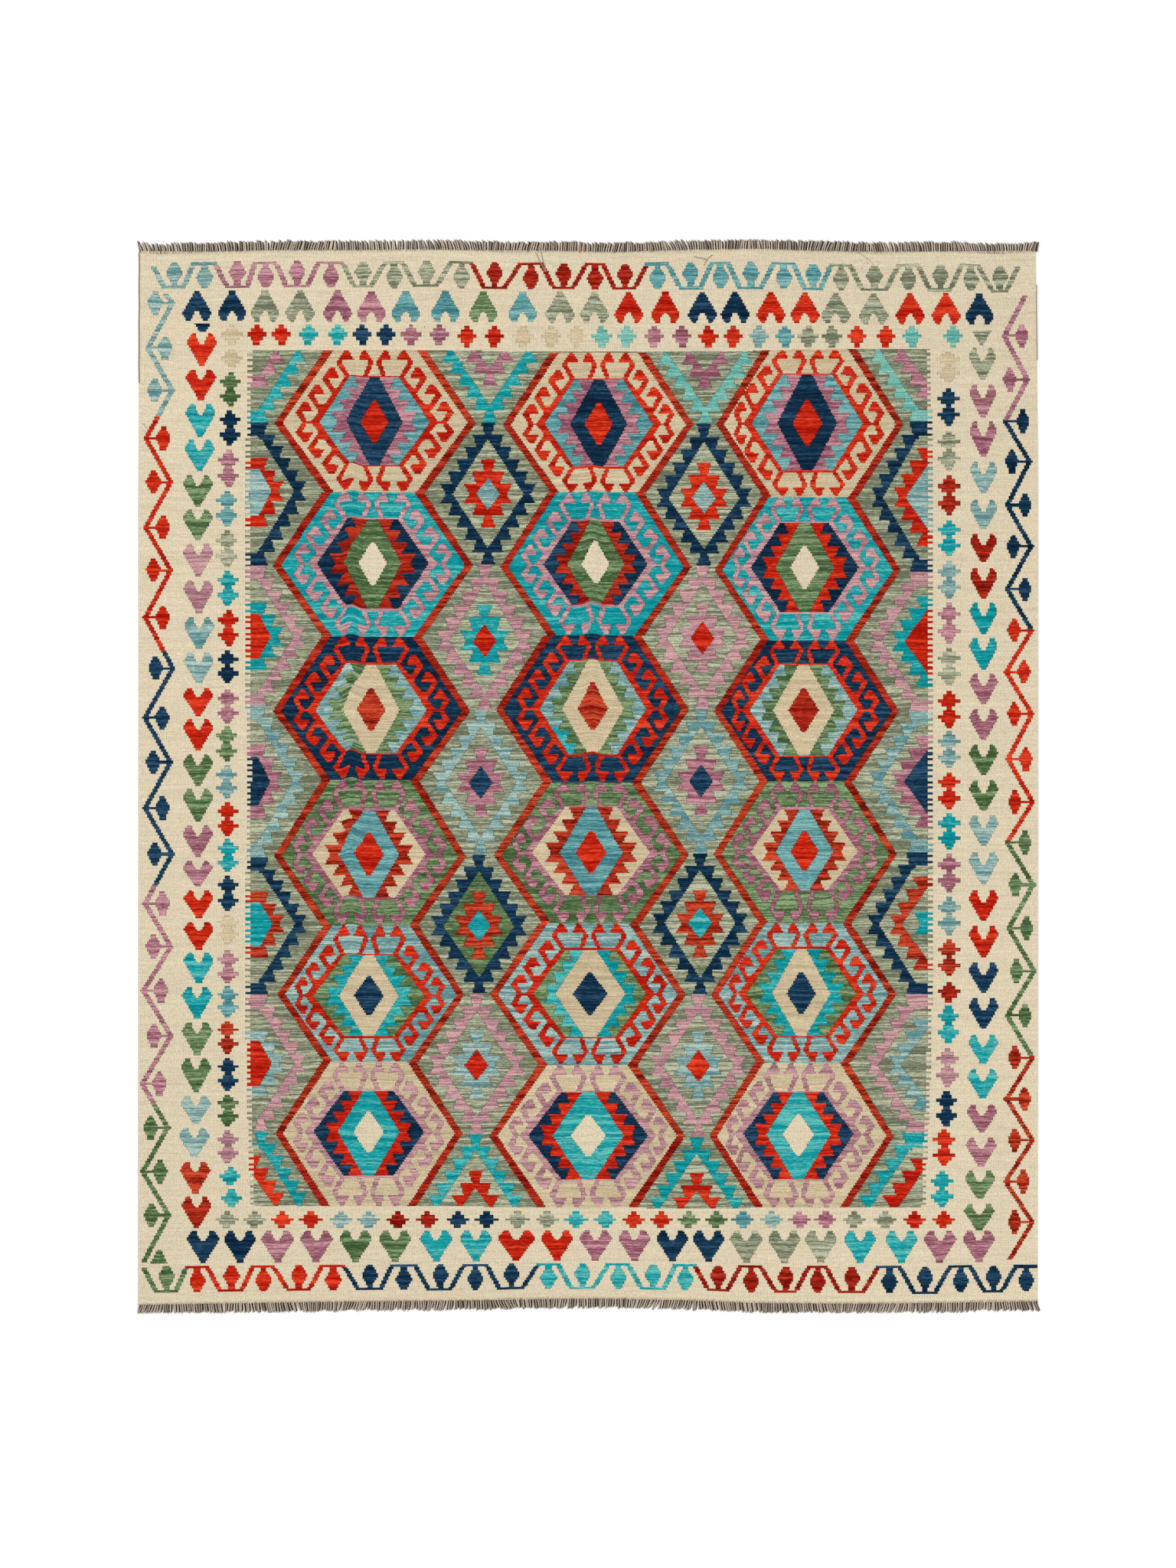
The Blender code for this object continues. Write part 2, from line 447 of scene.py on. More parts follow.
# Hearts and crosses along the ends: the middles of each yarn's motifs.
TOP_HEARTS = {
    NAVY: (256, 302, 917.5, 960.5, 1281),
    SAGE: (345, 391, 731, 776, 1092.5, 1142),
    MAUVE: (440, 484),
    TEAL: (529, 581, 682),
    GREEN: (630.5,),
    RED: (821, 869, 1007.5, 1052, 1190, 1237),
}
TOP_CROSSES = {
    BEIGE: (302, 682.5, 719, 753),
    RED: (334, 366.5, 609, 644.5, 925, 957.5, 1120, 1157.5),
    TURQUOISE: (401.5, 440),
    NAVY: (472.5, 503),
    MAUVE: (536, 572.5, 854, 891),
    AQUA: (785.5, 818, 1192.5, 1246),
    SKY: (991,),
    TEAL: (1026,),
    SAGE: (1056, 1087),
}
BOTTOM_CROSSES = {
    SAGE: (296, 332, 675.5, 714, 1115, 1156),
    RED: (368, 405.5, 827, 863, 1194, 1232),
    SKY: (444.5, 481, 1008),
    CRIMSON: (519, 558),
    NAVY: (597.5, 635),
    TURQUOISE: (752, 790),
    GREEN: (899, 935),
    TEAL: (970,),
    MAUVE: (1044, 1078),
}
BOTTOM_HEARTS = {
    NAVY: (265, 313, 877.5, 925),
    MAUVE: (362, 413, 777.5, 828, 1227.5, 1278),
    GREEN: (464, 515.5),
    TURQUOISE: (569, 621, 1123, 1177),
    RED: (674, 727),
    SAGE: (974, 1024, 1072),
}
# Hearts, single crosses and pairs of crosses down the sides: middle, top and bottom.
LEFT_HEARTS = {
    RED: ((262.5, 436, 478), (261.4, 482.5, 523), (258.3, 898.6, 935.6),
        (258.3, 939.7, 980.6), (259, 1164, 1200), (259, 1204.7, 1241)),
    TURQUOISE: ((261, 528, 570.5), (260, 575, 616), (259, 1244.4, 1285.6), (257, 1290, 1330.6)),
    GREEN: ((258, 621, 662), (258, 666, 705.6), (258, 986, 1027), (258, 1030.6, 1073.6),
        (257, 1335.6, 1378.6), (255.6, 1382.8, 1427)),
    PINK: ((258.6, 711, 753), (259, 758, 801)),
    SKY: ((259.4, 807, 848.6), (259, 853, 893), (255.3, 1432, 1469), (253.3, 1474, 1512.8)),
    MAUVE: ((257.8, 1078.6, 1120), (257.8, 1125, 1159)),
    RUST: ((254.7, 1518, 1559.7),),
    CRIMSON: ((256.4, 1564, 1605),),
}
RIGHT_HEARTS = {
    SAGE: ((1284, 455, 496),),
    MAUVE: ((1284, 502, 546), (1284, 551, 597), (1284, 880.6, 920), (1284, 927, 967),
        (1282, 1443, 1479.4), (1281, 1486, 1524.4)),
    SKY: ((1284, 603, 645), (1284, 653, 692), (1284, 1065, 1105.6), (1284, 1113, 1155)),
    CRIMSON: ((1284, 697, 735), (1284, 742, 782.5)),
    TURQUOISE: ((1284, 788, 828.6), (1284, 833, 875), (1283.6, 1352, 1390), (1283, 1397, 1436)),
    GREEN: ((1284, 973.6, 1013), (1284, 1020, 1060), (1279.4, 1530, 1566.7),
        (1278.6, 1573, 1608)),
    RED: ((1284, 1163, 1203.6), (1284, 1210, 1251)),
    NAVY: ((1284, 1257, 1297.5), (1284, 1304, 1344.4)),
}
LEFT_CROSSES = {
    BEIGE: ((301.4, 456, 480.6), (297, 1195, 1233)),
    GREEN: ((300, 486.7, 531), (295.6, 949, 995.6), (297, 1430, 1472)),
    NAVY: ((299.4, 536, 582.5), (296.7, 849.4, 893.6), (297, 1144, 1190.8),
        (297, 1382, 1425.6)),
    MAUVE: ((298, 587.5, 637), (296.4, 901, 946), (297, 1241.7, 1285.6)),
    TEAL: ((296, 642, 687.5), (297, 1288, 1329.4)),
    SAGE: ((296, 693, 741.4),),
    TURQUOISE: ((297, 746, 791.7), (297, 1096.7, 1139.7), (300.3, 1525, 1549.4),
        (302, 1554.4, 1578)),
    RED: ((298, 797, 844.4), (296.4, 1048, 1093)),
    SKY: ((295.6, 1000, 1043.6),),
    RUST: ((296.7, 1334, 1377),),
    PINK: ((297, 1477, 1520),),
}
RIGHT_CROSSES = {
    BEIGE: ((1239, 459, 500),),
    NAVY: ((1239, 507, 557), (1235.6, 1425, 1472)),
    SAGE: ((1239, 563, 615), (1239, 847, 896)),
    CRIMSON: ((1239, 621, 673), (1239, 1283, 1310)),
    TURQUOISE: ((1239, 680, 727), (1239, 1062.5, 1110), (1238, 1314, 1364), (1230, 1530, 1578)),
    SKY: ((1239, 733, 782), (1239, 956, 1004), (1239, 1172, 1222)),
    MAUVE: ((1239, 788, 841), (1239, 1116, 1166)),
    RED: ((1239, 903, 952), (1239, 1009, 1058), (1233, 1476, 1524)),
    RUST: ((1239, 1228, 1276),),
    PINK: ((1237, 1369, 1421),),
}
WIDE_HEART = 674           # middle of the one bottom heart that is woven wider
# What is left of three hearts at the borders' corners.
HALF_HEARTS = (
    (NAVY, ((252.7, 421.6), (274.6, 421.6), (267.7, 433), (259, 433))),
    (SAGE, ((1270.5, 432), (1296, 432), (1284.5, 451.5), (1282.5, 451.5))),
    (GREEN, ((205, 1632), (210, 1632), (218.5, 1649.5), (196, 1649.5))),
)


def each(table: dict[Yarn, Sequence]) -> list[tuple[Yarn, object]]:
    """Every place of a table, with its yarn."""
    return [(yarn, place) for yarn, places in table.items() for place in places]


@dataclass
class Borders:
    """The vines, hearts and crosses round the field."""

    middle: float = 600.0
    single: float = 35.0
    waist: float = 0.52

    def weave(self, chart: Chart) -> None:
        """Weave every motif of the four borders.

        Args:
            chart: The chart they go into.
        """
        EndVine(TOP_BARS, (341.2, 344.6), (371.6, 377.2), start=(199, 346),
                finish=(1332.5, 347)).weave(chart)
        EndVine(BOTTOM_BARS, (1652.0, 1653.5), (1683.0, 1686.0),
                start=(187.5, 1655)).weave(chart)
        LEFT_VINE.weave(chart)
        RIGHT_VINE.weave(chart)
        # The woven rows run down a little from left to right, and the crosses step down once.
        for yarn, middle in each(TOP_HEARTS):
            top = 379.2 + 4.0 * (middle - 256) / 1025
            Motif(HEART).weave(chart, middle, top, top + 40.6, yarn, 37.5)
        for yarn, middle in each(TOP_CROSSES):
            top = 424.2 + (2.0 if middle > self.middle else 0.0)
            Motif(CROSS).weave(chart, middle, top, top + 27.6, yarn, 25.6)
        for yarn, middle in each(BOTTOM_CROSSES):
            Motif(CROSS).weave(chart, middle, 1583.2, 1605.4, yarn, 29.5)
        for yarn, middle in each(BOTTOM_HEARTS):
            wide = 48 if middle == WIDE_HEART else 41.5
            Motif(HEART, True).weave(chart, middle, 1607.6, 1649.0, yarn, wide)
        for yarn, corners in HALF_HEARTS:
            chart.fill(corners, yarn)
        for yarn, (middle, top, bottom) in each(LEFT_HEARTS):
            Motif(HEART, True).weave(chart, middle, top, bottom, yarn, 38.5)
        for yarn, (middle, top, bottom) in each(RIGHT_HEARTS):
            wide = 34.5 + 5 * (top - 455) / 1150
            Motif(EARED_HEART, True).weave(chart, middle, top, bottom, yarn, wide)
        for table, wide in ((LEFT_CROSSES, 27.0), (RIGHT_CROSSES, 28.3)):
            for yarn, (middle, top, bottom) in each(table):
                self.side_cross(chart, middle, top, bottom, yarn, wide)

    def side_cross(self, chart: Chart, middle: float, top: float, bottom: float, yarn: Yarn,
                   wide: float) -> None:
        """Weave one cross of a side border, or two that stand on one another.

        Args:
            chart: The chart they go into.
            middle: Their middle line, in units.
            top: The highest row.
            bottom: The lowest row.
            yarn: Their yarn.
            wide: Their width.
        """
        if bottom - top < self.single:
            Motif(CROSS).weave(chart, middle, top, bottom, yarn, wide)
            return
        waist = top + self.waist * (bottom - top)
        Motif(UPPER_CROSS).weave(chart, middle, top, waist, yarn, wide)
        Motif(LOWER_CROSS).weave(chart, middle, waist - 0.1, bottom, yarn, wide)


# A medallion's drawn sizes from its middle: the ground's half width and half height, the inner
# hexagon's tip and flat end, and the room outside these two for the hooks.
DRAWN_HALF, DRAWN_TALL = 131, 93.7
DRAWN_TIP, DRAWN_FLAT = 71.8, 60.7
TIP_ROOM, FLAT_ROOM = 59.2, 33
GROUND_CORNERS = ((0.5, -93.7), (-56, -93.7), (-122, 0.3), (0.5, 0.3))
BAND_CORNERS = ((-66, -93.7), (-131, 0), (-120.5, 0), (-54, -93.7))
# The hooks of a quarter's slope: where each starts, and its head and stem.
HOOK_PLACES = ((-68.9, -58.5), (-87.7, -36.5), (-103.5, -13.7))
HOOK_PARTS = (
    ((10.6, -13.2), (16.6, -13.2), (22.6, -2.4), (22.6, -0.9), (9.0, -0.2), (0.3, 0.4)),
    ((0.3, 0.4), (9.0, -0.2), (15.8, 12.4), (25, 12.4), (18, 23.4), (14.9, 21.4)),
)
TIP_CORNERS = ((-93, -1.4), (-78, -1.4), (-78, 0.3), (-93, 0.3))
# The hooks that stand on a quarter's flat end.
END_HOOKS = (
    ((-39.3, -93), (-35, -93), (-28, -83), (-28, -81), (-42.5, -81), (-42.5, -77),
     (-32.5, -61.5), (-39, -61.5), (-49.5, -76.5), (-49.5, -79)),
    ((-16.3, -93), (-12, -93), (-5, -83.5), (-2.2, -79.5), (-2.2, -77), (-9, -61.5),
     (-15, -61.5), (-8.7, -77), (-8.7, -81), (-21, -81), (-21, -83)),
)
# Flat edges of the inner teeth, as shares of the way up from the middle line.
TOOTH_FLATS = (1.0, 0.746, 0.482, 0.227, 0.0)


@dataclass
class Medallion:
    """One of the hooked hexagons of the field, mirrored about both of its middle lines."""

    middle: float
    half_width: float
    top: float
    waist: float
    bottom: float
    inner_middle: float
    inner_half: float
    diamond_half: float
    inner_top: float
    inner_waist: float
    inner_bottom: float
    ground: Yarn
    hooks: Yarn
    teeth: tuple[Yarn, Yarn]
    diamond: Yarn
    core: Yarn
    band: tuple[Yarn, Yarn]

    def outer_place(self, u: float, v: float) -> tuple[float, float]:
        """Place on the sheet of a point of the ground or the outer band.

        Args:
            u: Across from the middle, as drawn.
            v: Down from the middle, as drawn.
        Returns:
            The point, in units.
        """
        tall = self.bottom - self.waist if v > 0 else self.waist - self.top
        return (self.middle + u * self.half_width / DRAWN_HALF,
                self.waist + v * tall / DRAWN_TALL)

    def hook_place(self, u: float, v: float) -> tuple[float, float]:
        """Place on the sheet of a point of the hooks, between the inner hexagon and the band.

        Args:
            u: Across from the middle, as drawn.
            v: Down from the middle, as drawn.
        Returns:
            The point, in units.
        """
        scale = self.half_width / DRAWN_HALF
        out = min(1.0, (DRAWN_HALF - abs(u)) / TIP_ROOM)
        up = max(0.0, (abs(v) - DRAWN_FLAT) / FLAT_ROOM)
        bulge = (self.inner_half - DRAWN_TIP * scale) * min(abs(u) / DRAWN_TIP, out)
        x = self.middle + u * scale + (self.inner_middle - self.middle) * out * (1 - 0.7 * up)
        x += math.copysign(bulge * (1 - abs(v) / DRAWN_TALL), u)
        start = self.waist + (self.inner_waist - self.waist) * out
        line, end = (self.inner_bottom, self.bottom) if v > 0 else (self.inner_top, self.top)
        if up:
            return x, line + (end - line) * up
        return x, start + (line - start) * abs(v) / DRAWN_FLAT

    def inner_place(self, u: float, v: float) -> tuple[float, float]:
        """Place on the sheet of a point of the inner hexagon."""
        line = self.inner_bottom - 1.0 if v > 0 else self.inner_top + 1.0
        return self.inner_middle + u, self.inner_waist + abs(v) * (line - self.inner_waist)

    def quarters(self, chart: Chart, place: Callable[[float, float], tuple[float, float]],
                 points: Points, yarn: Yarn, least: int = 0) -> None:
        """Weave a shape of the upper left quarter in all four quarters.

        Args:
            chart: The chart it goes into.
            place: Gives a point's place on the sheet.
            points: Corners of the shape in the upper left quarter.
            yarn: The yarn it is woven in.
            least: Fewest columns each run covers.
        """
        for across in (1, -1):
            for down in (1, -1):
                chart.fill([place(u * across, v * down) for u, v in points], yarn, least)

    def weave(self, chart: Chart) -> None:
        """Weave the ground, ring, hooks, toothed diamond and outer band.

        Args:
            chart: The chart they go into.
        """
        self.quarters(chart, self.outer_place, GROUND_CORNERS, self.ground)
        self.weave_inside(chart)
        for u, v in HOOK_PLACES:
            for part in HOOK_PARTS:
                # The lowest hook stops on the middle line, where its mirror image meets it.
                points = clipped([(u + x, v + y) for x, y in part])
                if points:
                    self.quarters(chart, self.hook_place, points, self.hooks, 1)
        self.quarters(chart, self.hook_place, TIP_CORNERS, self.hooks)
        for hook in END_HOOKS:
            self.quarters(chart, self.hook_place, hook, self.hooks, 1)
        for down, yarn in zip((1, -1), self.band):
            for across in (1, -1):
                chart.fill([self.outer_place(u * across, v * down) for u, v in BAND_CORNERS],
                           yarn)

    def weave_inside(self, chart: Chart) -> None:
        """Weave the ring, the hexagon, its teeth, the diamond and the core.

        Args:
            chart: The chart they go into.
        """
        half, diamond = self.inner_half, self.diamond_half
        flat, point = 0.45 * half, 0.17 * diamond

        def width(share: float, up: float) -> float:
            """Half width of the line that lies a share of the way from diamond to ring."""
            inside = diamond - (diamond - point) * up
            return inside + share * (half - (half - flat) * up - inside)

        def fill(points: Points, yarn: Yarn) -> None:
            """Weave a shape of the inside in all four quarters."""
            self.quarters(chart, self.inner_place, points, yarn)

        tall = (self.inner_bottom - self.inner_top) / 2
        line = 1 + 2.4 / tall
        fill(((0.5, -line), (-flat - 4.5, -line), (-half - 11.0, 0.005), (0.5, 0.005)),
             self.hooks)
        fill(((0.5, -1), (-flat, -1), (-half, 0.005), (0.5, 0.005)), self.teeth[0])
        for high, low in zip(TOOTH_FLATS, TOOTH_FLATS[1:]):
            thin = width(0.22 if low else 0.31, low)
            fill(((0.5, -high), (-width(0.775, high), -high), (-thin, -low), (0.5, -low)),
                 self.teeth[1])
        fill(((0.5, -1), (-point, -1), (-diamond, 0.005), (0.5, 0.005)), self.diamond)
        fill(((0.5, -0.48), (-2.5, -0.48), (-0.5 * diamond, 0.005), (0.5, 0.005)), self.core)


def clipped(points: Points) -> list[tuple[float, float]]:
    """Part of a shape that lies above the medallion's middle line.

    Args:
        points: Corners of a convex or nearly convex shape.
    Returns:
        Corners of what is left of it, or nothing.
    """
    kept: list[tuple[float, float]] = []
    for (x0, y0), (x1, y1) in zip(points, [*points[1:], points[0]]):
        if y0 <= 0:
            kept.append((x0, y0))
        if (y0 <= 0) != (y1 <= 0):
            kept.append((x0 + (x1 - x0) * (0 - y0) / (y1 - y0), 0.3))
    return kept


# A half lozenge as drawn: the flats of its teeth, from the waist to the tip, and the slope they
# follow; the star's teeth, as near and far row, half width near and far.
LOZENGE_FLATS = (0.0, 12.5, 28.4, 44.3, 60.2, 76.1, 92.0)
LOZENGE_SLOPE = 0.667
LOZENGE_SIDE = 32
STAR_TEETH = ((0.0, 12.5, 24.0, 31.5), (12.5, 28.4, 15.4, 20.8), (28.4, 44.3, 4.5, 9.5))
FOURTH_TOOTH = ((0, 60.2), (8, 44.3), (32, 44.3), (32, 60.2))


@dataclass
class Lozenge:
    """A toothed lozenge of the ground, with a star and a core inside it."""

    middle: float
    top: float
    waist: float
    bottom: float
    band: Yarn
    star: Yarn
    core: Yarn
    ground: Yarn = SAGE
    width: float = 1.0
    runs_on: int = 0
    whole_end: int = 0
    fourth: bool = False
    star_width: float = 0.0

    def weave(self, chart: Chart) -> None:
        """Weave the two halves.

        A lozenge cut off by the field's side runs on to it, on the side that runs_on says,
        but for the tooth at its whole_end.

        Args:
            chart: The chart they go into.
        """
        for down in (-1, 1):
            tall = self.bottom - self.waist if down > 0 else self.waist - self.top
            if tall > 0:
                self.weave_half(chart, down, down * tall / LOZENGE_FLATS[-1])

    def weave_half(self, chart: Chart, down: int, scale: float) -> None:
        """Weave the teeth, the inner diamond, the star and the core of one half.

        Args:
            chart: The chart they go into.
            down: 1 for the lower half, -1 for the upper one.
            scale: Units to each row as drawn, below 0 for the upper half.
        """
        # A half lozenge goes a little past its waist, up to the field's own edge.
        past = 8.0 if self.waist in (self.top, self.bottom) else 0.0
        for near, far in zip(LOZENGE_FLATS, LOZENGE_FLATS[1:]):
            start = LOZENGE_SLOPE * (80 - near) + 1.7
            reach = LOZENGE_SLOPE * (96.7 - far) + 6.2
            runs = far == LOZENGE_FLATS[-1] and down != self.whole_end
            self.fill(chart, ((start, near or -past), (start, near), (reach, far)), self.band,
                      scale, runs)
        self.fill(chart, ((46.5 + 0.657 * past, -past), (0.5, 70.0)), self.ground, scale)
        if self.runs_on:
            side, end = LOZENGE_SIDE, 77 if down > 0 else 74
            self.run_on(chart, ((side, -past), (0, -past), (0, 66), (4, end), (side, end)),
                        self.ground, scale)
        for near, far, thin, wide in STAR_TEETH:
            self.fill(chart, ((thin, near or -past), (thin, near), (wide, far)), self.star,
                      scale, True, self.star_width)
        if self.fourth:
            self.run_on(chart, FOURTH_TOOTH, self.star, scale)
        if self.runs_on:
            side, tip = (20, 47) if self.fourth else (2, 30)
            self.run_on(chart, ((40, -past), (-14.5 - 0.6 * past, -past), (side, tip),
                                (40, tip)), self.core, scale)
        else:
            self.fill(chart, ((15.6 + 0.74 * past, -past), (0.8, 20.0)), self.core, scale)

    def fill(self, chart: Chart, points: Points, yarn: Yarn, scale: float, runs: bool = False,
             width: float = 0.0) -> None:
        """Weave a shape of one half, mirrored about the middle line.

        Args:
            chart: The chart it goes into.
            points: Its right side, u from the middle line and v away from the waist.
            yarn: The yarn it is woven in.
            scale: Units to each v, below 0 for the upper half.
            runs: Whether the shape of a cut lozenge runs on to the field's side.
            width: Units to each u, or 0 for the lozenge's own width.
        """
        shape = mirrored(points)
        if runs and self.runs_on:
            shape = [(u if u * self.runs_on < 0 else LOZENGE_SIDE * self.runs_on, v)
                     for u, v in shape]
        chart.fill([(self.middle + u * (width or self.width), self.waist + v * scale)
                    for u, v in shape], yarn)

    def run_on(self, chart: Chart, points: Points, yarn: Yarn, scale: float) -> None:
        """Weave a shape of the side on which the lozenge is cut off by the field's edge."""
        chart.fill([(self.middle + u * self.runs_on, self.waist + v * scale)
                    for u, v in points], yarn)


# Medallions, row by row: middle, half width, top, waist and bottom, then the inner hexagon's
# middle, half width, the diamond's half width, and the hexagon's top, waist and bottom.
MEDALLION_PLACES = (
    ((489.3, 131.6, 457.3, 552.5, 642.7, 488.4, 72.5, 37.1, 492.3, 551.5, 608.6),
     (781.0, 124.6, 460.2, 555.0, 643.8, 781.6, 71.3, 37.5, 495.2, 554.0, 611.3),
     (1057.7, 122.4, 456.3, 554.5, 649, 1054.2, 72.9, 39.4, 488.6, 553.0, 615.5)),
    ((486.7, 130.7, 642.7, 738.5, 831.5, 486.4, 73.5, 37.8, 677.5, 736.0, 796.8),
     (777.8, 124.6, 643.8, 740.5, 830.2, 777.5, 68.3, 37.6, 680.3, 737.5, 791.8),
     (1054.4, 121.2, 649, 745.0, 836.3, 1050.5, 70.8, 38.6, 682.4, 741.3, 800.4)),
    ((484.8, 128.8, 831.5, 929.0, 1018.8, 484.2, 73.5, 37.9, 867.5, 927.8, 984.5),
     (773.2, 126.2, 830.2, 927.0, 1022.3, 773.8, 70.1, 40.6, 863.5, 926.0, 987.0),
     (1052.9, 121.1, 836.3, 929.5, 1021.2, 1049.1, 70.6, 40.3, 868.0, 928.0, 987.8)),
    ((482.8, 125.4, 1018.8, 1119.0, 1209, 481.4, 74.3, 39.6, 1057.5, 1116.5, 1174.6),
     (771.9, 127.5, 1022.3, 1117.5, 1206.3, 771.6, 77.5, 41.3, 1054.0, 1114.5, 1169.9),
     (1051.4, 119.6, 1021.2, 1116.0, 1206, 1050.2, 70.1, 37.9, 1056.6, 1113.0, 1164.0)),
    ((484.0, 122.0, 1209, 1299.5, 1387.9, 481.3, 73.3, 39.3, 1247.5, 1301.3, 1354.8),
     (767.5, 127.8, 1206.3, 1299.5, 1391.3, 770.3, 74.0, 46.1, 1240.5, 1298.6, 1356.0),
     (1049.3, 121.0, 1206, 1299.5, 1388.4, 1046.0, 71.9, 38.3, 1238.7, 1298.4, 1354.0)),
    ((481.3, 122.3, 1387.9, 1480.5, 1576.6, 481.1, 72.5, 40.7, 1424.5, 1478.8, 1537.3),
     (766.6, 127.8, 1391.3, 1484.5, 1578.8, 767.7, 78.5, 47.2, 1426.5, 1484.0, 1541.2),
     (1046.6, 120.4, 1388.4, 1484.5, 1578.2, 1042.3, 72.2, 42.4, 1426.2, 1482.0, 1541.5)),
)
# Yarns of each row of medallions: ground, hooks, two teeth, diamond, core, upper and lower band.
MEDALLION_YARNS = (
    (BEIGE, RED, (TEAL, MAUVE), NAVY, RED, (RUST, CRIMSON)),
    (TURQUOISE, PINK, (NAVY, CRIMSON), GREEN, CREAM, (CRIMSON, RUST)),
    (NAVY, RED, (SKY, GREEN), BEIGE, RUST, (CRIMSON, RUST)),
    (GREEN, MAUVE, (BEIGE, RUST), TEAL, RED, (RUST, RUST)),
    (SKY, RED, (GREEN, TURQUOISE), BEIGE, NAVY, (RUST, RUST)),
    (BEIGE, PINK, (NAVY, RED), TURQUOISE, CREAM, (RUST, CRIMSON)),
)
# Columns of lozenges between them: middles, and top, waist and bottom rows.
LOZENGE_PLACES = (
    ((340, 0, 462.1, 552), (340, 552, 641.5, 738.5), (339, 739, 832, 921),
     (338, 921, 1021, 1120), (341, 1120.5, 1207, 1299.5), (340.5, 1300, 1390, 1477.5),
     (341, 1478, 1571, 0)),
    ((638.8, 0, 460.6, 551.3), (637, 551.5, 645.5, 737.5), (632.5, 738, 838, 928),
     (627.5, 928, 1023, 1116), (625, 1116.5, 1210, 1298), (621.8, 1299, 1392, 1481),
     (620.6, 1481, 1573.6, 0)),
    ((920.9, 0, 465.3, 552.8), (919, 554, 651, 738.5), (917, 738.8, 834, 926),
     (915, 926, 1020.6, 1115.6), (913.8, 1115.6, 1206, 1300), (911.5, 1300, 1393, 1485.6),
     (909.5, 1486, 1576.3, 0)),
    ((1196.6, 0, 460.7, 550.8), (1196.6, 551, 650, 747), (1195, 747.5, 838, 930),
     (1194.5, 930, 1021, 1113), (1191.5, 1113, 1208, 1299.5), (1190.5, 1300, 1392, 1480),
     (1188, 1480, 1574.9, 0)),
)
# Yarns of each row of lozenges: band, star and core.
LOZENGE_YARNS = (
    (TURQUOISE, MAUVE, SAGE), (NAVY, RED, SKY), (PINK, TURQUOISE, RED), (SKY, MAUVE, NAVY),
    (NAVY, RUST, TURQUOISE), (PINK, SKY, RED), (TURQUOISE, RED, SAGE),
)
# The side on which the outer columns of lozenges are cut off by the field's edge.
CUT_SIDES = {0: -1, 3: 1}
# What sets a lozenge apart from the rest of its row, by column and row.
ODD_LOZENGES = {
    (0, 5): {"whole_end": 1}, (0, 6): {"whole_end": -1, "fourth": True},
    (1, 4): {"ground": GREEN}, (2, 0): {"band": AQUA}, (2, 2): {"star": PINK},
    (3, 0): {"band": AQUA}, (3, 4): {"core": SAGE}, (3, 5): {"core": SAGE},
    (3, 6): {"width": 1.07, "star_width": 1.15},
}
# Patches woven in another yarn than the rest of their row: left, top, right, bottom, the usual
# yarn and the odd one.
ODD_PATCHES = (
    (1030, 895, 1072, 962, RUST, CRIMSON),
    (704, 950, 757, 986, SKY, TURQUOISE),
    (985, 676, 1108, 796, CRIMSON, RED),
)
# What the field's right edge leaves of one small core.
CUT_CORE = ((1194, 1192.5), (1220, 1192.5), (1220, 1221.5), (1194.5, 1221.5), (1201.5, 1207))
# The field's two combed edges: row, x of the teeth's tips.
LEFT_COMB = ((457, 323.0), (640, 320.0), (900, 320.5), (1000, 322.5), (1200, 320.5),
             (1310, 320.0), (1450, 323.0), (1576.3, 327.0))
RIGHT_COMB = ((456.5, 1216.5), (1000, 1217.4), (1310, 1216.8), (1400, 1214.7), (1450, 1213.2),
              (1500, 1210.3), (1577.3, 1208.5))
FIELD_TOP = ((580, 457.3), (690, 459.8), (870, 460.0), (965, 459.0), (1060, 456.0))
FIELD_BOTTOM = ((600, 1576.5), (700, 1577.5), (860, 1578.5), (960, 1578.6), (1060, 1577.6))


@dataclass
class Field:
    """The striped ground of the kilim with its medallions and lozenges."""

    top: float = 457.5
    bottom: float = 1577.0
    tooth: float = 7.45
    notch: float = 5.6
    notch_height: float = 3.9
    outside: float = 3.0

    def weave(self, chart: Chart) -> None:
        """Weave the ground, then its motifs, then comb its two sides.

        Args:
            chart: The chart they go into.
        """
        outline = [(x, y) for y, x in LEFT_COMB] + list(FIELD_BOTTOM)
        outline += [(x, y) for y, x in reversed(RIGHT_COMB)] + list(reversed(FIELD_TOP))
        chart.fill(outline, SAGE)
        inside = chart.yarn == SAGE
        kept = chart.yarn.copy()
        for column, places in enumerate(LOZENGE_PLACES):
            for number in range(len(places)):
                self.lozenge(column, number).weave(chart)
        chart.fill(CUT_CORE, TURQUOISE)
        for places, yarns in zip(MEDALLION_PLACES, MEDALLION_YARNS):
            for place in places:
                Medallion(*place, *yarns).weave(chart)
        for patch in ODD_PATCHES:
            chart.change(*patch)
        chart.yarn[~inside] = kept[~inside]
        self.comb(chart)

    def lozenge(self, column: int, number: int) -> Lozenge:
        """One lozenge of the field.

        Args:
            column: Its column, from the left.
            number: Its place in the column, from the top.
        Returns:
            The lozenge, with what sets it apart from the rest of its row.
        """
        middle, top, waist, bottom = LOZENGE_PLACES[column][number]
        lozenge = Lozenge(middle, top or waist, waist, bottom or waist, *LOZENGE_YARNS[number])
        if column in CUT_SIDES:
            lozenge = replace(lozenge, runs_on=CUT_SIDES[column], width=0.95,
                              fourth=column == len(LOZENGE_PLACES) - 1)
        return replace(lozenge, **ODD_LOZENGES.get((column, number), {}))

    def comb(self, chart: Chart) -> None:
        """Cut the notches of the field's two sides.

        Args:
            chart: The chart they go into.
        """
        for side, edge in ((1, np.array(LEFT_COMB)), (-1, np.array(RIGHT_COMB))):
            for number in range(int((self.bottom - self.top) / self.tooth) + 1):
                y = self.top + number * self.tooth
                tip = np.interp(y, edge[:, 0], edge[:, 1])
                ends = sorted((tip - side * self.outside, tip + side * self.notch))
                chart.block(ends[0], y, ends[1], y + self.notch_height, CREAM)


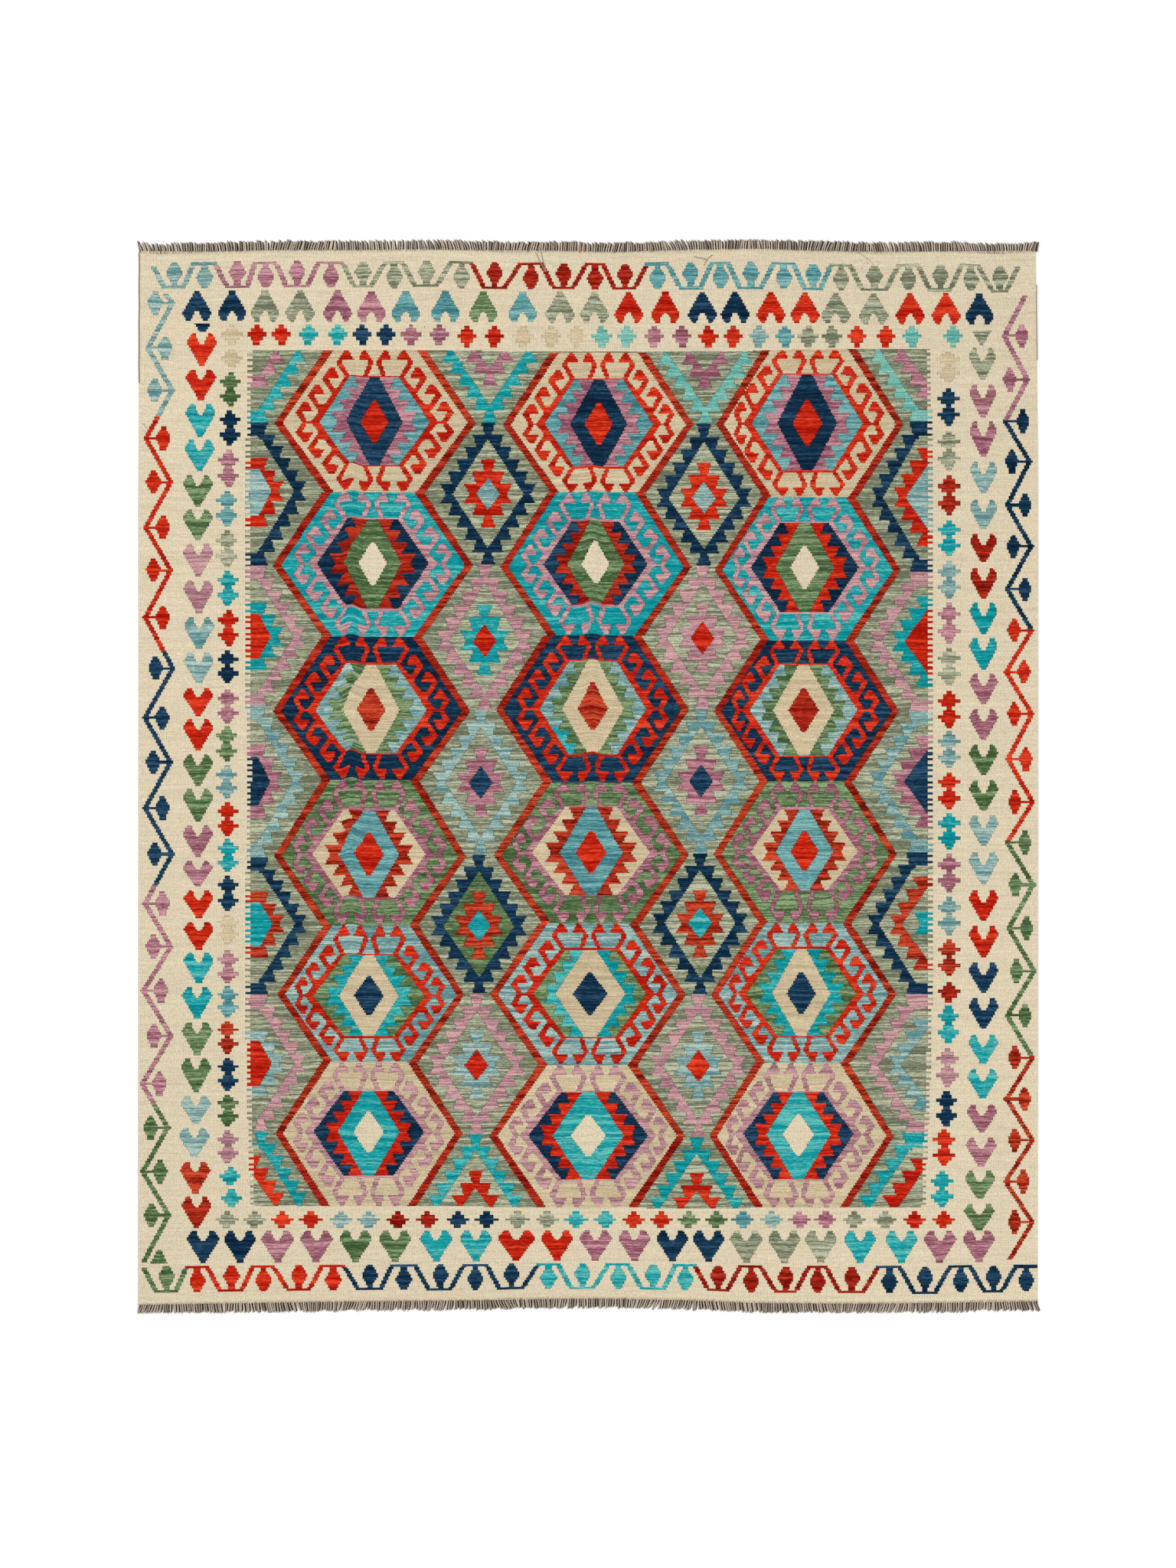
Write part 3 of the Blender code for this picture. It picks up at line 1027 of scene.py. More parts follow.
# --------------------------------------------------------------------- finishes
def linear(colour: tuple[float, float, float]) -> tuple[float, float, float, float]:
    """A colour in the renderer's own linear values.

    Args:
        colour: Red, green and blue from 0 to 255.
    Returns:
        Linear red, green, blue and a full alpha.
    """
    values = [c / 255 for c in colour]
    red, green, blue = (
        c / 12.92 if c <= 0.04045 else ((c + 0.055) / 1.055) ** 2.4 for c in values
    )
    return red, green, blue, 1.0


@dataclass(frozen=True)
class Number:
    """A number worked out inside a material; each sum with it adds a node."""

    nodes: "Nodes"
    socket: bpy.types.NodeSocket

    def __add__(self, other: object) -> "Number":
        """Their sum."""
        return self.nodes.maths("ADD", self, other)

    def __sub__(self, other: object) -> "Number":
        """Their difference."""
        return self.nodes.maths("SUBTRACT", self, other)

    def __mul__(self, other: object) -> "Number":
        """Their product."""
        return self.nodes.maths("MULTIPLY", self, other)

    def __truediv__(self, other: object) -> "Number":
        """Their quotient."""
        return self.nodes.maths("DIVIDE", self, other)


@dataclass
class Nodes:
    """The nodes of one material, with helpers that add and join them."""

    material: bpy.types.Material

    @classmethod
    def start(cls, name: str, settings: dict[str, object]) -> "Nodes":
        """Start a material.

        Args:
            name: The material's name.
            settings: Plain values of its surface shader's inputs.
        Returns:
            Its nodes.
        """
        material = bpy.data.materials.new(name)
        material.use_nodes = True
        nodes = cls(material)
        for socket, value in settings.items():
            nodes.shader.inputs[socket].default_value = value
        return nodes

    @property
    def shader(self) -> bpy.types.Node:
        """The material's surface shader."""
        return self.material.node_tree.nodes["Principled BSDF"]

    def add(self, kind: str, **settings: object) -> bpy.types.Node:
        """Add a node and set its properties.

        Args:
            kind: The node's type name.
            settings: Properties to set on it.
        Returns:
            The new node.
        """
        node = self.material.node_tree.nodes.new(kind)
        for name, value in settings.items():
            setattr(node, name, value)
        return node

    def put(self, target: bpy.types.NodeSocket, value: object) -> None:
        """Link or set an input.

        Args:
            target: The input.
            value: A number or a socket to link, or a plain value to set.
        """
        source = value.socket if isinstance(value, Number) else value
        if isinstance(source, bpy.types.NodeSocket):
            self.material.node_tree.links.new(source, target)
        else:
            target.default_value = source

    def maths(self, operation: str, *values: object) -> Number:
        """Add a sum.

        Args:
            operation: Name of the operation.
            values: Its inputs.
        Returns:
            The result.
        """
        node = self.add("ShaderNodeMath", operation=operation)
        for target, value in zip(node.inputs, values):
            self.put(target, value)
        return Number(self, node.outputs[0])

    def attribute(self, name: str) -> bpy.types.Node:
        """Read a value that each face of the mesh carries."""
        return self.add("ShaderNodeAttribute", attribute_name=name)

    def split(self, vector: bpy.types.NodeSocket) -> tuple[Number, Number]:
        """Take a vector apart.

        Args:
            vector: The vector's socket.
        Returns:
            Its first two numbers.
        """
        node = self.add("ShaderNodeSeparateXYZ")
        self.put(node.inputs[0], vector)
        return Number(self, node.outputs[0]), Number(self, node.outputs[1])

    def point(self, x: object, y: object, z: object) -> bpy.types.NodeSocket:
        """Join three numbers into a place to sample a texture at.

        Args:
            x: Its first number.
            y: Its second number.
            z: Its third number.
        Returns:
            The place's socket.
        """
        node = self.add("ShaderNodeCombineXYZ")
        for target, value in zip(node.inputs, (x, y, z)):
            self.put(target, value)
        return node.outputs[0]

    def noise(self, place: bpy.types.NodeSocket, detail: float = 1.0,
              rough: float = 0.5) -> Number:
        """Add soft random values.

        Args:
            place: Where they are sampled.
            detail: How many finer layers they have.
            rough: How strong the finer layers are.
        Returns:
            The value, about 0 to 1.
        """
        node = self.add("ShaderNodeTexNoise", noise_dimensions="3D")
        for name, value in (("Vector", place), ("Scale", 1.0), ("Detail", detail),
                            ("Roughness", rough)):
            self.put(node.inputs[name], value)
        return Number(self, node.outputs[0])

    def spread(self, value: Number, low: float, high: float, start: float,
               end: float) -> Number:
        """Map a range of a value smoothly onto another.

        Args:
            value: The value.
            low: Where the range starts.
            high: Where it ends.
            start: What its start becomes.
            end: What its end becomes.
        Returns:
            The result.
        """
        node = self.add("ShaderNodeMapRange", interpolation_type="SMOOTHSTEP")
        for target, item in zip(node.inputs, (value, low, high, start, end)):
            self.put(target, item)
        return Number(self, node.outputs[0])

    def ramp(self, value: Number,
             stops: Sequence[tuple[float, tuple[float, float, float, float]]]
             ) -> bpy.types.NodeSocket:
        """Turn a value into colours.

        Args:
            value: The value.
            stops: Place and colour of each stop.
        Returns:
            The colour's socket.
        """
        node = self.add("ShaderNodeValToRGB")
        elements = node.color_ramp.elements
        while len(elements) < len(stops):
            elements.new(0.5)
        for element, (place, colour) in zip(elements, stops):
            element.position = place
            element.color = colour
        self.put(node.inputs[0], value)
        return node.outputs[0]

    def blend(self, share: object, first: object, second: object) -> bpy.types.NodeSocket:
        """Mix two colours.

        Args:
            share: How much of the second one there is.
            first: The first colour.
            second: The second colour.
        Returns:
            The mixed colour's socket.
        """
        node = self.add("ShaderNodeMix", data_type="RGBA", blend_type="MIX")
        for target, value in zip((node.inputs[0], node.inputs[6], node.inputs[7]),
                                 (share, first, second)):
            self.put(target, value)
        return node.outputs[2]

    def scaled(self, vector: object, amount: object) -> bpy.types.NodeSocket:
        """Multiply a colour or a place by a number.

        Args:
            vector: The colour or the place.
            amount: The number.
        Returns:
            The result's socket.
        """
        node = self.add("ShaderNodeVectorMath", operation="SCALE")
        self.put(node.inputs[0], vector)
        self.put(node.inputs["Scale"], amount)
        return node.outputs[0]

    def dress(self, colour: bpy.types.NodeSocket, height: Number, strength: float,
              depth: float) -> bpy.types.Material:
        """Give the surface its colour and its relief.

        Args:
            colour: The colour's socket.
            height: Height of the relief.
            strength: How strongly it shows, from 0 to 1.
            depth: Metres to each unit of height.
        Returns:
            The finished material.
        """
        self.put(self.shader.inputs["Base Color"], colour)
        bump = self.add("ShaderNodeBump")
        for name, value in (("Strength", strength), ("Distance", depth), ("Height", height)):
            self.put(bump.inputs[name], value)
        self.put(self.shader.inputs["Normal"], bump.outputs[0])
        return self.material


UV_SHARE = 0.98            # of the map's width and height that the cloth takes
RIB_PITCH = CLOTH_WIDTH / Chart.columns
PICK_PITCH = CLOTH_LENGTH / (2 * Chart.rows)
SLIT_REACH = 0.0015


@dataclass(frozen=True)
class DyedWool:
    """One dyed yarn of the cloth, with the uneven stripes of its dye lots."""

    name: str
    pale: tuple[float, float, float]
    middle: tuple[float, float, float]
    deep: tuple[float, float, float]
    striping: float = 1.0
    ribs: float = 0.5

    def material(self) -> bpy.types.Material:
        """Build the woven surface of this yarn, with painted light and shade on its ribs and
        picks and painted shade in its slits.

        Returns:
            The material.
        """
        nodes = Nodes.start(self.name, {"Roughness": 0.95, "Sheen Weight": 0.03,
                                        "Sheen Roughness": 0.4, "Specular IOR Level": 0.06})
        across, down = nodes.split(nodes.add("ShaderNodeUVMap", uv_map="OFBake").outputs[0])
        x, y = across * (CLOTH_WIDTH / UV_SHARE), down * (CLOTH_LENGTH / UV_SHARE)
        lot = Number(nodes, nodes.attribute("lot").outputs["Fac"])
        drift = nodes.noise(nodes.point(x * 9.0, y * 4.0, lot * 40.0), 0.0)
        picks = y / PICK_PITCH + drift * 6.0
        row = nodes.maths("FLOOR", picks)

        # Each pair of warps stands up as a rib and each pick of weft dips between them.
        rib = nodes.maths("COSINE", x * (2 * math.pi / RIB_PITCH))
        pick = nodes.maths("COSINE", picks * (2 * math.pi)
                           + nodes.maths("SIGN", rib) * (math.pi / 2))
        fuzz = nodes.noise(nodes.point(x * 700.0, y * 1500.0, 0.0), 2.0, 0.7)
        grain = nodes.noise(nodes.point(x * 330.0, y * 420.0, 3.0), 1.0, 0.7)
        cell = nodes.add("ShaderNodeTexWhiteNoise", noise_dimensions="2D")
        nodes.put(cell.inputs["Vector"], nodes.point(
            nodes.maths("FLOOR", x / (RIB_PITCH / 2)), row, 0.0))
        # Painted light and shade: the rib and pick terms lighten the tops of the warps and wefts
        # and darken the dips between them, on top of the bump; the noise terms are the yarn's
        # own uneven tone.
        shade = nodes.spread(fuzz, 0.2, 0.8, 0.92, 1.08) + rib * (0.06 * self.ribs)
        shade += (Number(nodes, cell.outputs["Value"]) - 0.5) * 0.30
        shade += (grain - 0.5) * (0.6 + 0.7 * self.striping)
        shade += pick * 0.07
        colour = nodes.scaled(self.dyed(nodes, x, picks, row, lot), shade)

        # The slit beside a change of colour shows as a thin dark line: painted shade in the
        # slit, with a dip in the relief.
        start, end = nodes.split(nodes.attribute("slits").outputs["Vector"])
        near = nodes.maths("MINIMUM", across - start, end - across) * (CLOTH_WIDTH / UV_SHARE)
        slit_dip_and_shade = nodes.spread(near, 0.0, SLIT_REACH, 1.0, 0.0)
        light = sum(self.deep) / (3 * 255)
        # Painted shade: near a slit the colour is mixed toward a darkened deep colour.
        colour = nodes.blend(slit_dip_and_shade * (0.9 - 0.65 * light), colour,
                             linear(tuple(c * (0.2 + 0.5 * light) for c in self.deep)))
        height = rib * 0.5 + pick * 0.35 + fuzz * 0.6 - slit_dip_and_shade * 1.6
        return nodes.dress(colour, height, 0.8, 0.00035)

    def dyed(self, nodes: Nodes, x: Number, picks: Number, row: Number,
             lot: Number) -> bpy.types.NodeSocket:
        """Colour of the yarn before it is woven.

        Dye lots change every few picks, and single darker picks run through them.

        Args:
            nodes: The material's nodes.
            x: Place across the cloth, in metres.
            picks: Place along the cloth, in picks.
            row: Number of the pick.
            lot: Random number of the area woven in one go.
        Returns:
            The colour's socket.
        """
        single = nodes.noise(nodes.point(x * 6.0, row * 5.37, lot * 97.0), 0.0)
        batch = nodes.noise(nodes.point(x * 3.0, picks * 0.17, lot * 61.0), 1.0)
        spun = nodes.noise(nodes.point(x * 70.0, row * 3.71, 7.0), 0.0)
        tone = (batch - 0.5) * 1.5 + (spun - 0.5) * 0.9
        tone = tone * self.striping + (lot * 0.24 + 0.39)
        colour = nodes.ramp(tone, (
            (0.20, linear(self.deep)), (0.44, linear(self.middle)),
            (0.54, linear(self.middle)), (0.76, linear(self.pale))))
        line = nodes.spread(single, 0.37, 0.45, 0.85, 0.0)
        return nodes.blend(line * min(1.0, 0.8 * self.striping), colour,
                           linear(tuple(c * 0.85 for c in self.deep)))


WOOLS = {
    Yarn.CREAM: DyedWool("cream_wool", (221, 207, 180), (211, 197, 169), (196, 181, 151),
                         0.35, 1.3),
    Yarn.RED: DyedWool("red_wool", (222, 67, 38), (194, 38, 15), (154, 13, 3)),
    Yarn.CRIMSON: DyedWool("crimson_wool", (187, 56, 34), (155, 31, 17), (108, 7, 2)),
    Yarn.RUST: DyedWool("rust_wool", (200, 74, 46), (173, 47, 24), (110, 11, 3), 1.15),
    Yarn.NAVY: DyedWool("navy_wool", (43, 77, 103), (17, 49, 74), (3, 28, 49)),
    Yarn.TURQUOISE: DyedWool("turquoise_wool", (96, 183, 176), (18, 152, 157),
                             (1, 122, 130), 0.85),
    Yarn.AQUA: DyedWool("aqua_wool", (146, 193, 178), (112, 178, 165), (66, 150, 145), 0.9),
    Yarn.TEAL: DyedWool("teal_wool", (128, 176, 173), (93, 151, 153), (52, 112, 122)),
    Yarn.SKY: DyedWool("sky_wool", (170, 190, 180), (130, 163, 158), (82, 130, 135), 1.1),
    Yarn.SAGE: DyedWool("sage_wool", (181, 183, 155), (148, 152, 126), (104, 111, 88), 1.25),
    Yarn.GREEN: DyedWool("green_wool", (136, 156, 115), (94, 120, 80), (57, 83, 47), 1.1),
    Yarn.MAUVE: DyedWool("mauve_wool", (194, 143, 151), (166, 111, 122), (129, 71, 88), 1.15),
    Yarn.PINK: DyedWool("pink_wool", (202, 157, 156), (178, 134, 140), (146, 97, 108), 1.1),
    Yarn.BEIGE: DyedWool("beige_wool", (208, 191, 157), (198, 180, 147), (183, 165, 131), 0.8),
}


@dataclass(frozen=True)
class PlainWool:
    """Undyed yarn of the warp ends, of the cloth's rim and of loose threads, and the painted
    shadow under the warp ends.
    """

    name: str
    light: tuple[float, float, float]
    dark: tuple[float, float, float]

    def material(self) -> bpy.types.Material:
        """Build the yarn's surface, a little different from strand to strand.

        Returns:
            The material.
        """
        nodes = Nodes.start(self.name, {"Roughness": 0.9, "Sheen Weight": 0.15,
                                        "Specular IOR Level": 0.15})
        place = nodes.add("ShaderNodeTexCoord").outputs["Object"]
        strand = Number(nodes, nodes.attribute("lot").outputs["Fac"])
        fuzz = nodes.noise(nodes.scaled(place, 900.0), 2.0, 0.7)
        colour = nodes.ramp(strand * 0.6 + fuzz * 0.4,
                            ((0.15, linear(self.dark)), (0.85, linear(self.light))))
        return nodes.dress(colour, fuzz, 0.6, 0.0004)


WARP_WOOL = PlainWool("warp_wool", (210, 193, 174), (98, 85, 72))
# Painted shadow: the near-black yarn laid under the gaps of the fringe.
WARP_GAP_SHADOW = PlainWool("warp_gap_painted_shadow", (72, 62, 54), (26, 21, 18))
DARK_EDGE_CORD = PlainWool("dark_edge_cord", (158, 148, 132), (84, 74, 62))
BINDING_WOOL = PlainWool("binding_wool", (232, 219, 188), (206, 192, 160))
ORANGE_THREAD = PlainWool("orange_thread", (226, 110, 50), (190, 70, 30))
GREY_THREAD = PlainWool("grey_thread", (188, 180, 168), (112, 102, 92))
DARK_THREAD = PlainWool("dark_thread", (70, 58, 50), (34, 28, 24))


# ----------------------------------------------------------------------- pieces
def finish_mesh(name: str, points: Sequence[Sequence[float]],
                faces: Sequence[Sequence[int]]) -> bpy.types.Object:
    """Make an object of points and faces and put it in the scene.

    Args:
        name: Its name.
        points: Corners, in metres.
        faces: Corner numbers of each face.
    Returns:
        The object.
    """
    mesh = bpy.data.meshes.new(name)
    mesh.from_pydata(points, [], faces)
    mesh.polygons.foreach_set("use_smooth", [True] * len(mesh.polygons))
    thing = bpy.data.objects.new(name, mesh)
    bpy.context.scene.collection.objects.link(thing)
    return thing


class Patch(NamedTuple):
    """Rows of one yarn, one below the other, that start and end on the same columns."""

    left: int
    right: int
    high: int
    low: int
    yarn: int


@dataclass
class Weave:
    """The cloth's two faces and its rounded rim, woven from the chart."""

    chart: Chart
    row_cut: int = 40
    column_cut: int = 40
    crease_cut: int = 2
    seed: int = 11
    rim_bulge: float = 0.0016
    rim_map: float = 0.009
    rim_steps: int = 4
    patches: list[Patch] = field(default_factory=list)
    lots: list[int] = field(default_factory=list)

    def cut_columns(self) -> list[int]:
        """Columns where runs are cut so that the mesh can bend along the creases.

        Returns:
            Column numbers, in order.
        """
        cuts = set(range(self.column_cut, self.chart.columns, self.column_cut))
        for middle, _, _, half_width, _ in CREASES:
            reach = half_width * PULL_SPREAD
            first, last = (round((middle + way * reach + CLOTH_WIDTH / 2) / RIB_PITCH)
                           for way in (-1, 1))
            cuts -= set(range(first, last + 1))
            cuts |= set(range(first, last + 1, self.crease_cut))
        return sorted(cuts)

    def gather(self) -> None:
        """Merge the chart's runs into patches and number the areas woven in one go."""
        columns, cuts = self.chart.columns, set(self.cut_columns())
        parents: list[int] = []

        def root(number: int) -> int:
            """Find the area that a patch belongs to.

            Args:
                number: Number of the patch.
            Returns:
                Number of the area's first patch.
            """
            while parents[number] != number:
                parents[number] = parents[parents[number]]
                number = parents[number]
            return number

        above: list[tuple[int, int, int, int]] = []
        for row in range(self.chart.rows):
            line = self.chart.yarn[row]
            stops = sorted({0, columns, *(np.nonzero(np.diff(line))[0] + 1).tolist(), *cuts})
            known = {(left, right, yarn): number for left, right, yarn, number in above}
            here = []
            for left, right in zip(stops, stops[1:]):
                yarn = int(line[left])
                number = known.get((left, right, yarn)) if row % self.row_cut else None
                if number is None:
                    number = len(self.patches)
                    self.patches.append(Patch(left, right, row, row, yarn))
                    parents.append(number)
                self.patches[number] = self.patches[number]._replace(low=row + 1)
                if here and here[-1][2] == yarn:
                    parents[root(number)] = root(here[-1][3])
                here.append((left, right, yarn, number))
            at = 0
            for left, right, yarn, number in here:
                while at < len(above) and above[at][1] <= left:
                    at += 1
                step = at
                while step < len(above) and above[step][0] < right:
                    if above[step][2] == yarn:
                        parents[root(number)] = root(above[step][3])
                    step += 1
            above = here
        self.lots = [root(number) for number in range(len(self.patches))]

    def flat(self, column: float, row: float) -> tuple[float, float]:
        """Place on the flat cloth of a corner of the chart."""
        return (column / self.chart.columns - 0.5) * CLOTH_WIDTH, (
            0.5 - row / self.chart.rows) * CLOTH_LENGTH

    def outline(self, patch: Patch, by_row: dict[int, list[int]],
                by_column: dict[int, list[int]]) -> list[tuple[int, int]]:
        """Corners round a patch, with those of its neighbours that lie on its sides.

        Args:
            patch: The patch.
            by_row: Corner columns on each row line.
            by_column: Corner rows on each column line.
        Returns:
            Column and row of each corner, in order round the patch.
        """
        upper, lower = by_row[patch.high], by_row[patch.low]
        before, after = by_column[patch.left], by_column[patch.right]
        first, last = bisect.bisect_left, bisect.bisect_right
        loop = [(c, patch.low)
                for c in lower[first(lower, patch.left):first(lower, patch.right)]]
        loop += [(patch.right, r) for r in reversed(
            after[last(after, patch.high):last(after, patch.low)])]
        loop += [(c, patch.high) for c in reversed(
            upper[last(upper, patch.left):last(upper, patch.right)])]
        loop += [(patch.left, r)
                 for r in before[first(before, patch.high):first(before, patch.low)]]
        return loop

    def slit_ends(self, patch: Patch, cuts: set[int]) -> tuple[float, float, float]:
        """Where a patch starts and ends beside a slit, on the cloth's flat map.

        Args:
            patch: The patch.
            cuts: Columns where runs are cut only to let the mesh bend.
        Returns:
            Its two ends, well off the map where there is no slit, and a spare 0.
        """
        line = self.chart.yarn[patch.high]
        starts = patch.left > 0 and line[patch.left - 1] != patch.yarn
        ends = patch.right < self.chart.columns and line[patch.right] != patch.yarn
        return (self.map_u(patch.left) if starts and patch.left not in cuts else -1.0,
                self.map_u(patch.right) if ends and patch.right not in cuts else 2.0, 0.0)

    def face(self, name: str, top: bool, materials: Sequence[bpy.types.Material]
             ) -> bpy.types.Object:
        """Build one face of the cloth, with the rim on the top one.

        Args:
            name: The piece's name.
            top: True for the upper face.
            materials: Material of each yarn, then of the rim.
        Returns:
            The piece.
        """
        by_row: dict[int, list[int]] = {}
        by_column: dict[int, list[int]] = {}
        corners = sorted({(c, r) for left, right, high, low, _ in self.patches
                          for c in (left, right) for r in (high, low)})
        number = {corner: index for index, corner in enumerate(corners)}
        lift = CLOTH_THICKNESS if top else 0.0
        points = []
        for column, row in corners:
            by_row.setdefault(row, []).append(column)
            by_column.setdefault(column, []).append(row)
            x, y, z = cloth_point(*self.flat(column, row))
            points.append((x, y, z + lift))

        dice = random.Random(self.seed)
        shades: dict[int, float] = {}
        for lot in self.lots:
            if lot not in shades:
                shades[lot] = dice.random()
        cuts = set(self.cut_columns())
        faces = [[number[corner] for corner in self.outline(patch, by_row, by_column)]
                 for patch in self.patches]
        slots = [patch.yarn for patch in self.patches]
        lots = [shades[lot] for lot in self.lots]
        slits = [self.slit_ends(patch, cuts) for patch in self.patches]
        flat_u = [self.map_u(column) for column, _ in corners]
        flat_v = [self.map_v(row) for _, row in corners]
        if top:
            self.add_rim(points, faces, flat_u, flat_v, by_row, by_column)
            extra = len(faces) - len(slots)
            slots += [len(Yarn)] * extra
            lots += [0.5] * extra
            slits += [(-1.0, 2.0, 0.0)] * extra
        else:
            faces = [ring[::-1] for ring in faces]
            flat_u = [1.0 - u for u in flat_u]
            slits = [(1.0 - end, 1.0 - start, 0.0) for start, end, _ in slits]

        piece = finish_mesh(name, points, faces)
        mesh = piece.data
        for material in materials:
            mesh.materials.append(material)
        mesh.polygons.foreach_set("material_index", slots)
        mesh.attributes.new("lot", "FLOAT", "FACE").data.foreach_set("value", lots)
        mesh.attributes.new("slits", "FLOAT_VECTOR", "FACE").data.foreach_set(
            "vector", np.array(slits, np.float32).ravel())
        loops = np.zeros(len(mesh.loops), np.int32)
        mesh.loops.foreach_get("vertex_index", loops)
        places = np.stack((np.array(flat_u)[loops], np.array(flat_v)[loops]), 1)
        mesh.uv_layers.new(name="OFBake").data.foreach_set(
            "uv", places.astype(np.float32).ravel())
        return piece

    def map_u(self, column: float) -> float:
        """Place of a chart column on the cloth's flat map, from 0 to 1."""
        return (1 - UV_SHARE) / 2 + UV_SHARE * column / self.chart.columns

    def map_v(self, row: float) -> float:
        """Place of a chart row on the cloth's flat map, from 0 to 1."""
        return (1 - UV_SHARE) / 2 + UV_SHARE * (1 - row / self.chart.rows)

    def add_rim(self, points: list, faces: list, flat_u: list[float], flat_v: list[float],
                by_row: dict[int, list[int]], by_column: dict[int, list[int]]) -> None:
        """Add the rounded edge that joins the upper face to the floor side.

        Args:
            points: The piece's points, added to.
            faces: Its faces, added to.
            flat_u: First map value of each point, added to.
            flat_v: Second map value of each point, added to.
            by_row: Corner columns on each row line.
            by_column: Corner rows on each column line.
        """
        columns, rows = self.chart.columns, self.chart.rows
        edges = (
            ([(0, r) for r in by_column[0]], (-1, 0), -1),
            ([(columns, r) for r in by_column[columns]], (1, 0), 1),
            ([(c, 0) for c in by_row[0]], (0, 1), -1),
            ([(c, rows) for c in by_row[rows]], (0, -1), 1),
        )
        steps = self.rim_steps
        for line, (out_x, out_y), turn in edges:
            first = len(points)
            for column, row in line:
                x, y, z = cloth_point(*self.flat(column, row))
                for step in range(steps + 1):
                    angle = math.pi * (0.5 - step / steps)
                    bulge = self.rim_bulge * math.cos(angle)
                    points.append((x + out_x * bulge, y + out_y * bulge,
                                   z + CLOTH_THICKNESS / 2 * (1 + math.sin(angle))))
                    out = self.rim_map * step / steps
                    flat_u.append(self.map_u(column) + out_x * out)
                    flat_v.append(self.map_v(row) + out_y * out)
            for at in range(len(line) - 1):
                for step in range(steps):
                    a = first + at * (steps + 1) + step
                    ring = [a, a + steps + 1, a + steps + 2, a + 1]
                    faces.append(ring if turn > 0 else ring[::-1])


@dataclass
class Yarns:
    """Round yarns gathered into one mesh."""

    sides: int = 5
    points: list[tuple[float, float, float]] = field(default_factory=list)
    faces: list[tuple[int, ...]] = field(default_factory=list)
    lots: list[float] = field(default_factory=list)
    slots: list[int] = field(default_factory=list)

    def add(self, path: Sequence[Vector], radii: Sequence[float], lot: float = 0.5,
            slot: int = 0, squash: float = 1.0) -> None:
        """Add one yarn along a path.

        Args:
            path: Points of its middle line.
            radii: Its radius at each point.
            lot: Its shade, from 0 to 1.
            slot: Its material number.
            squash: Height of its section as a share of its width.
        """
        first = len(self.points)
        for at, (middle, radius) in enumerate(zip(path, radii)):
            ahead = path[min(at + 1, len(path) - 1)] - path[max(at - 1, 0)]
            side = Vector((ahead.y, -ahead.x, 0.0))
            side = side.normalized() if side.length > 1e-9 else Vector((1, 0, 0))
            up = side.cross(ahead).normalized()
            if up.z < 0:
                up = -up
            for step in range(self.sides):
                angle = 2 * math.pi * step / self.sides
                self.points.append(tuple(
                    middle + side * math.cos(angle) * radius
                    + up * math.sin(angle) * radius * squash))
        for at in range(len(path) - 1):
            for step in range(self.sides):
                a = first + at * self.sides + step
                b = first + at * self.sides + (step + 1) % self.sides
                self.faces.append((a, b, b + self.sides, a + self.sides))
        last = first + (len(path) - 1) * self.sides
        self.faces.append(tuple(reversed(range(first, first + self.sides))))
        self.faces.append(tuple(range(last, last + self.sides)))
        added = (len(path) - 1) * self.sides + 2
        self.lots += [lot] * added
        self.slots += [slot] * added

    def piece(self, name: str, materials: Sequence[bpy.types.Material]) -> bpy.types.Object:
        """Turn the gathered yarns into a piece.

        Args:
            name: Its name.
            materials: Its materials, in order.
        Returns:
            The piece.
        """
        thing = finish_mesh(name, self.points, self.faces)
        for material in materials:
            thing.data.materials.append(material)
        thing.data.polygons.foreach_set("material_index", self.slots)
        thing.data.attributes.new("lot", "FLOAT", "FACE").data.foreach_set(
            "value", self.lots)
        thing.data.update()
        return thing


class End(Enum):
    """The two woven ends of the rug."""

    TOP = 1
    BOTTOM = -1


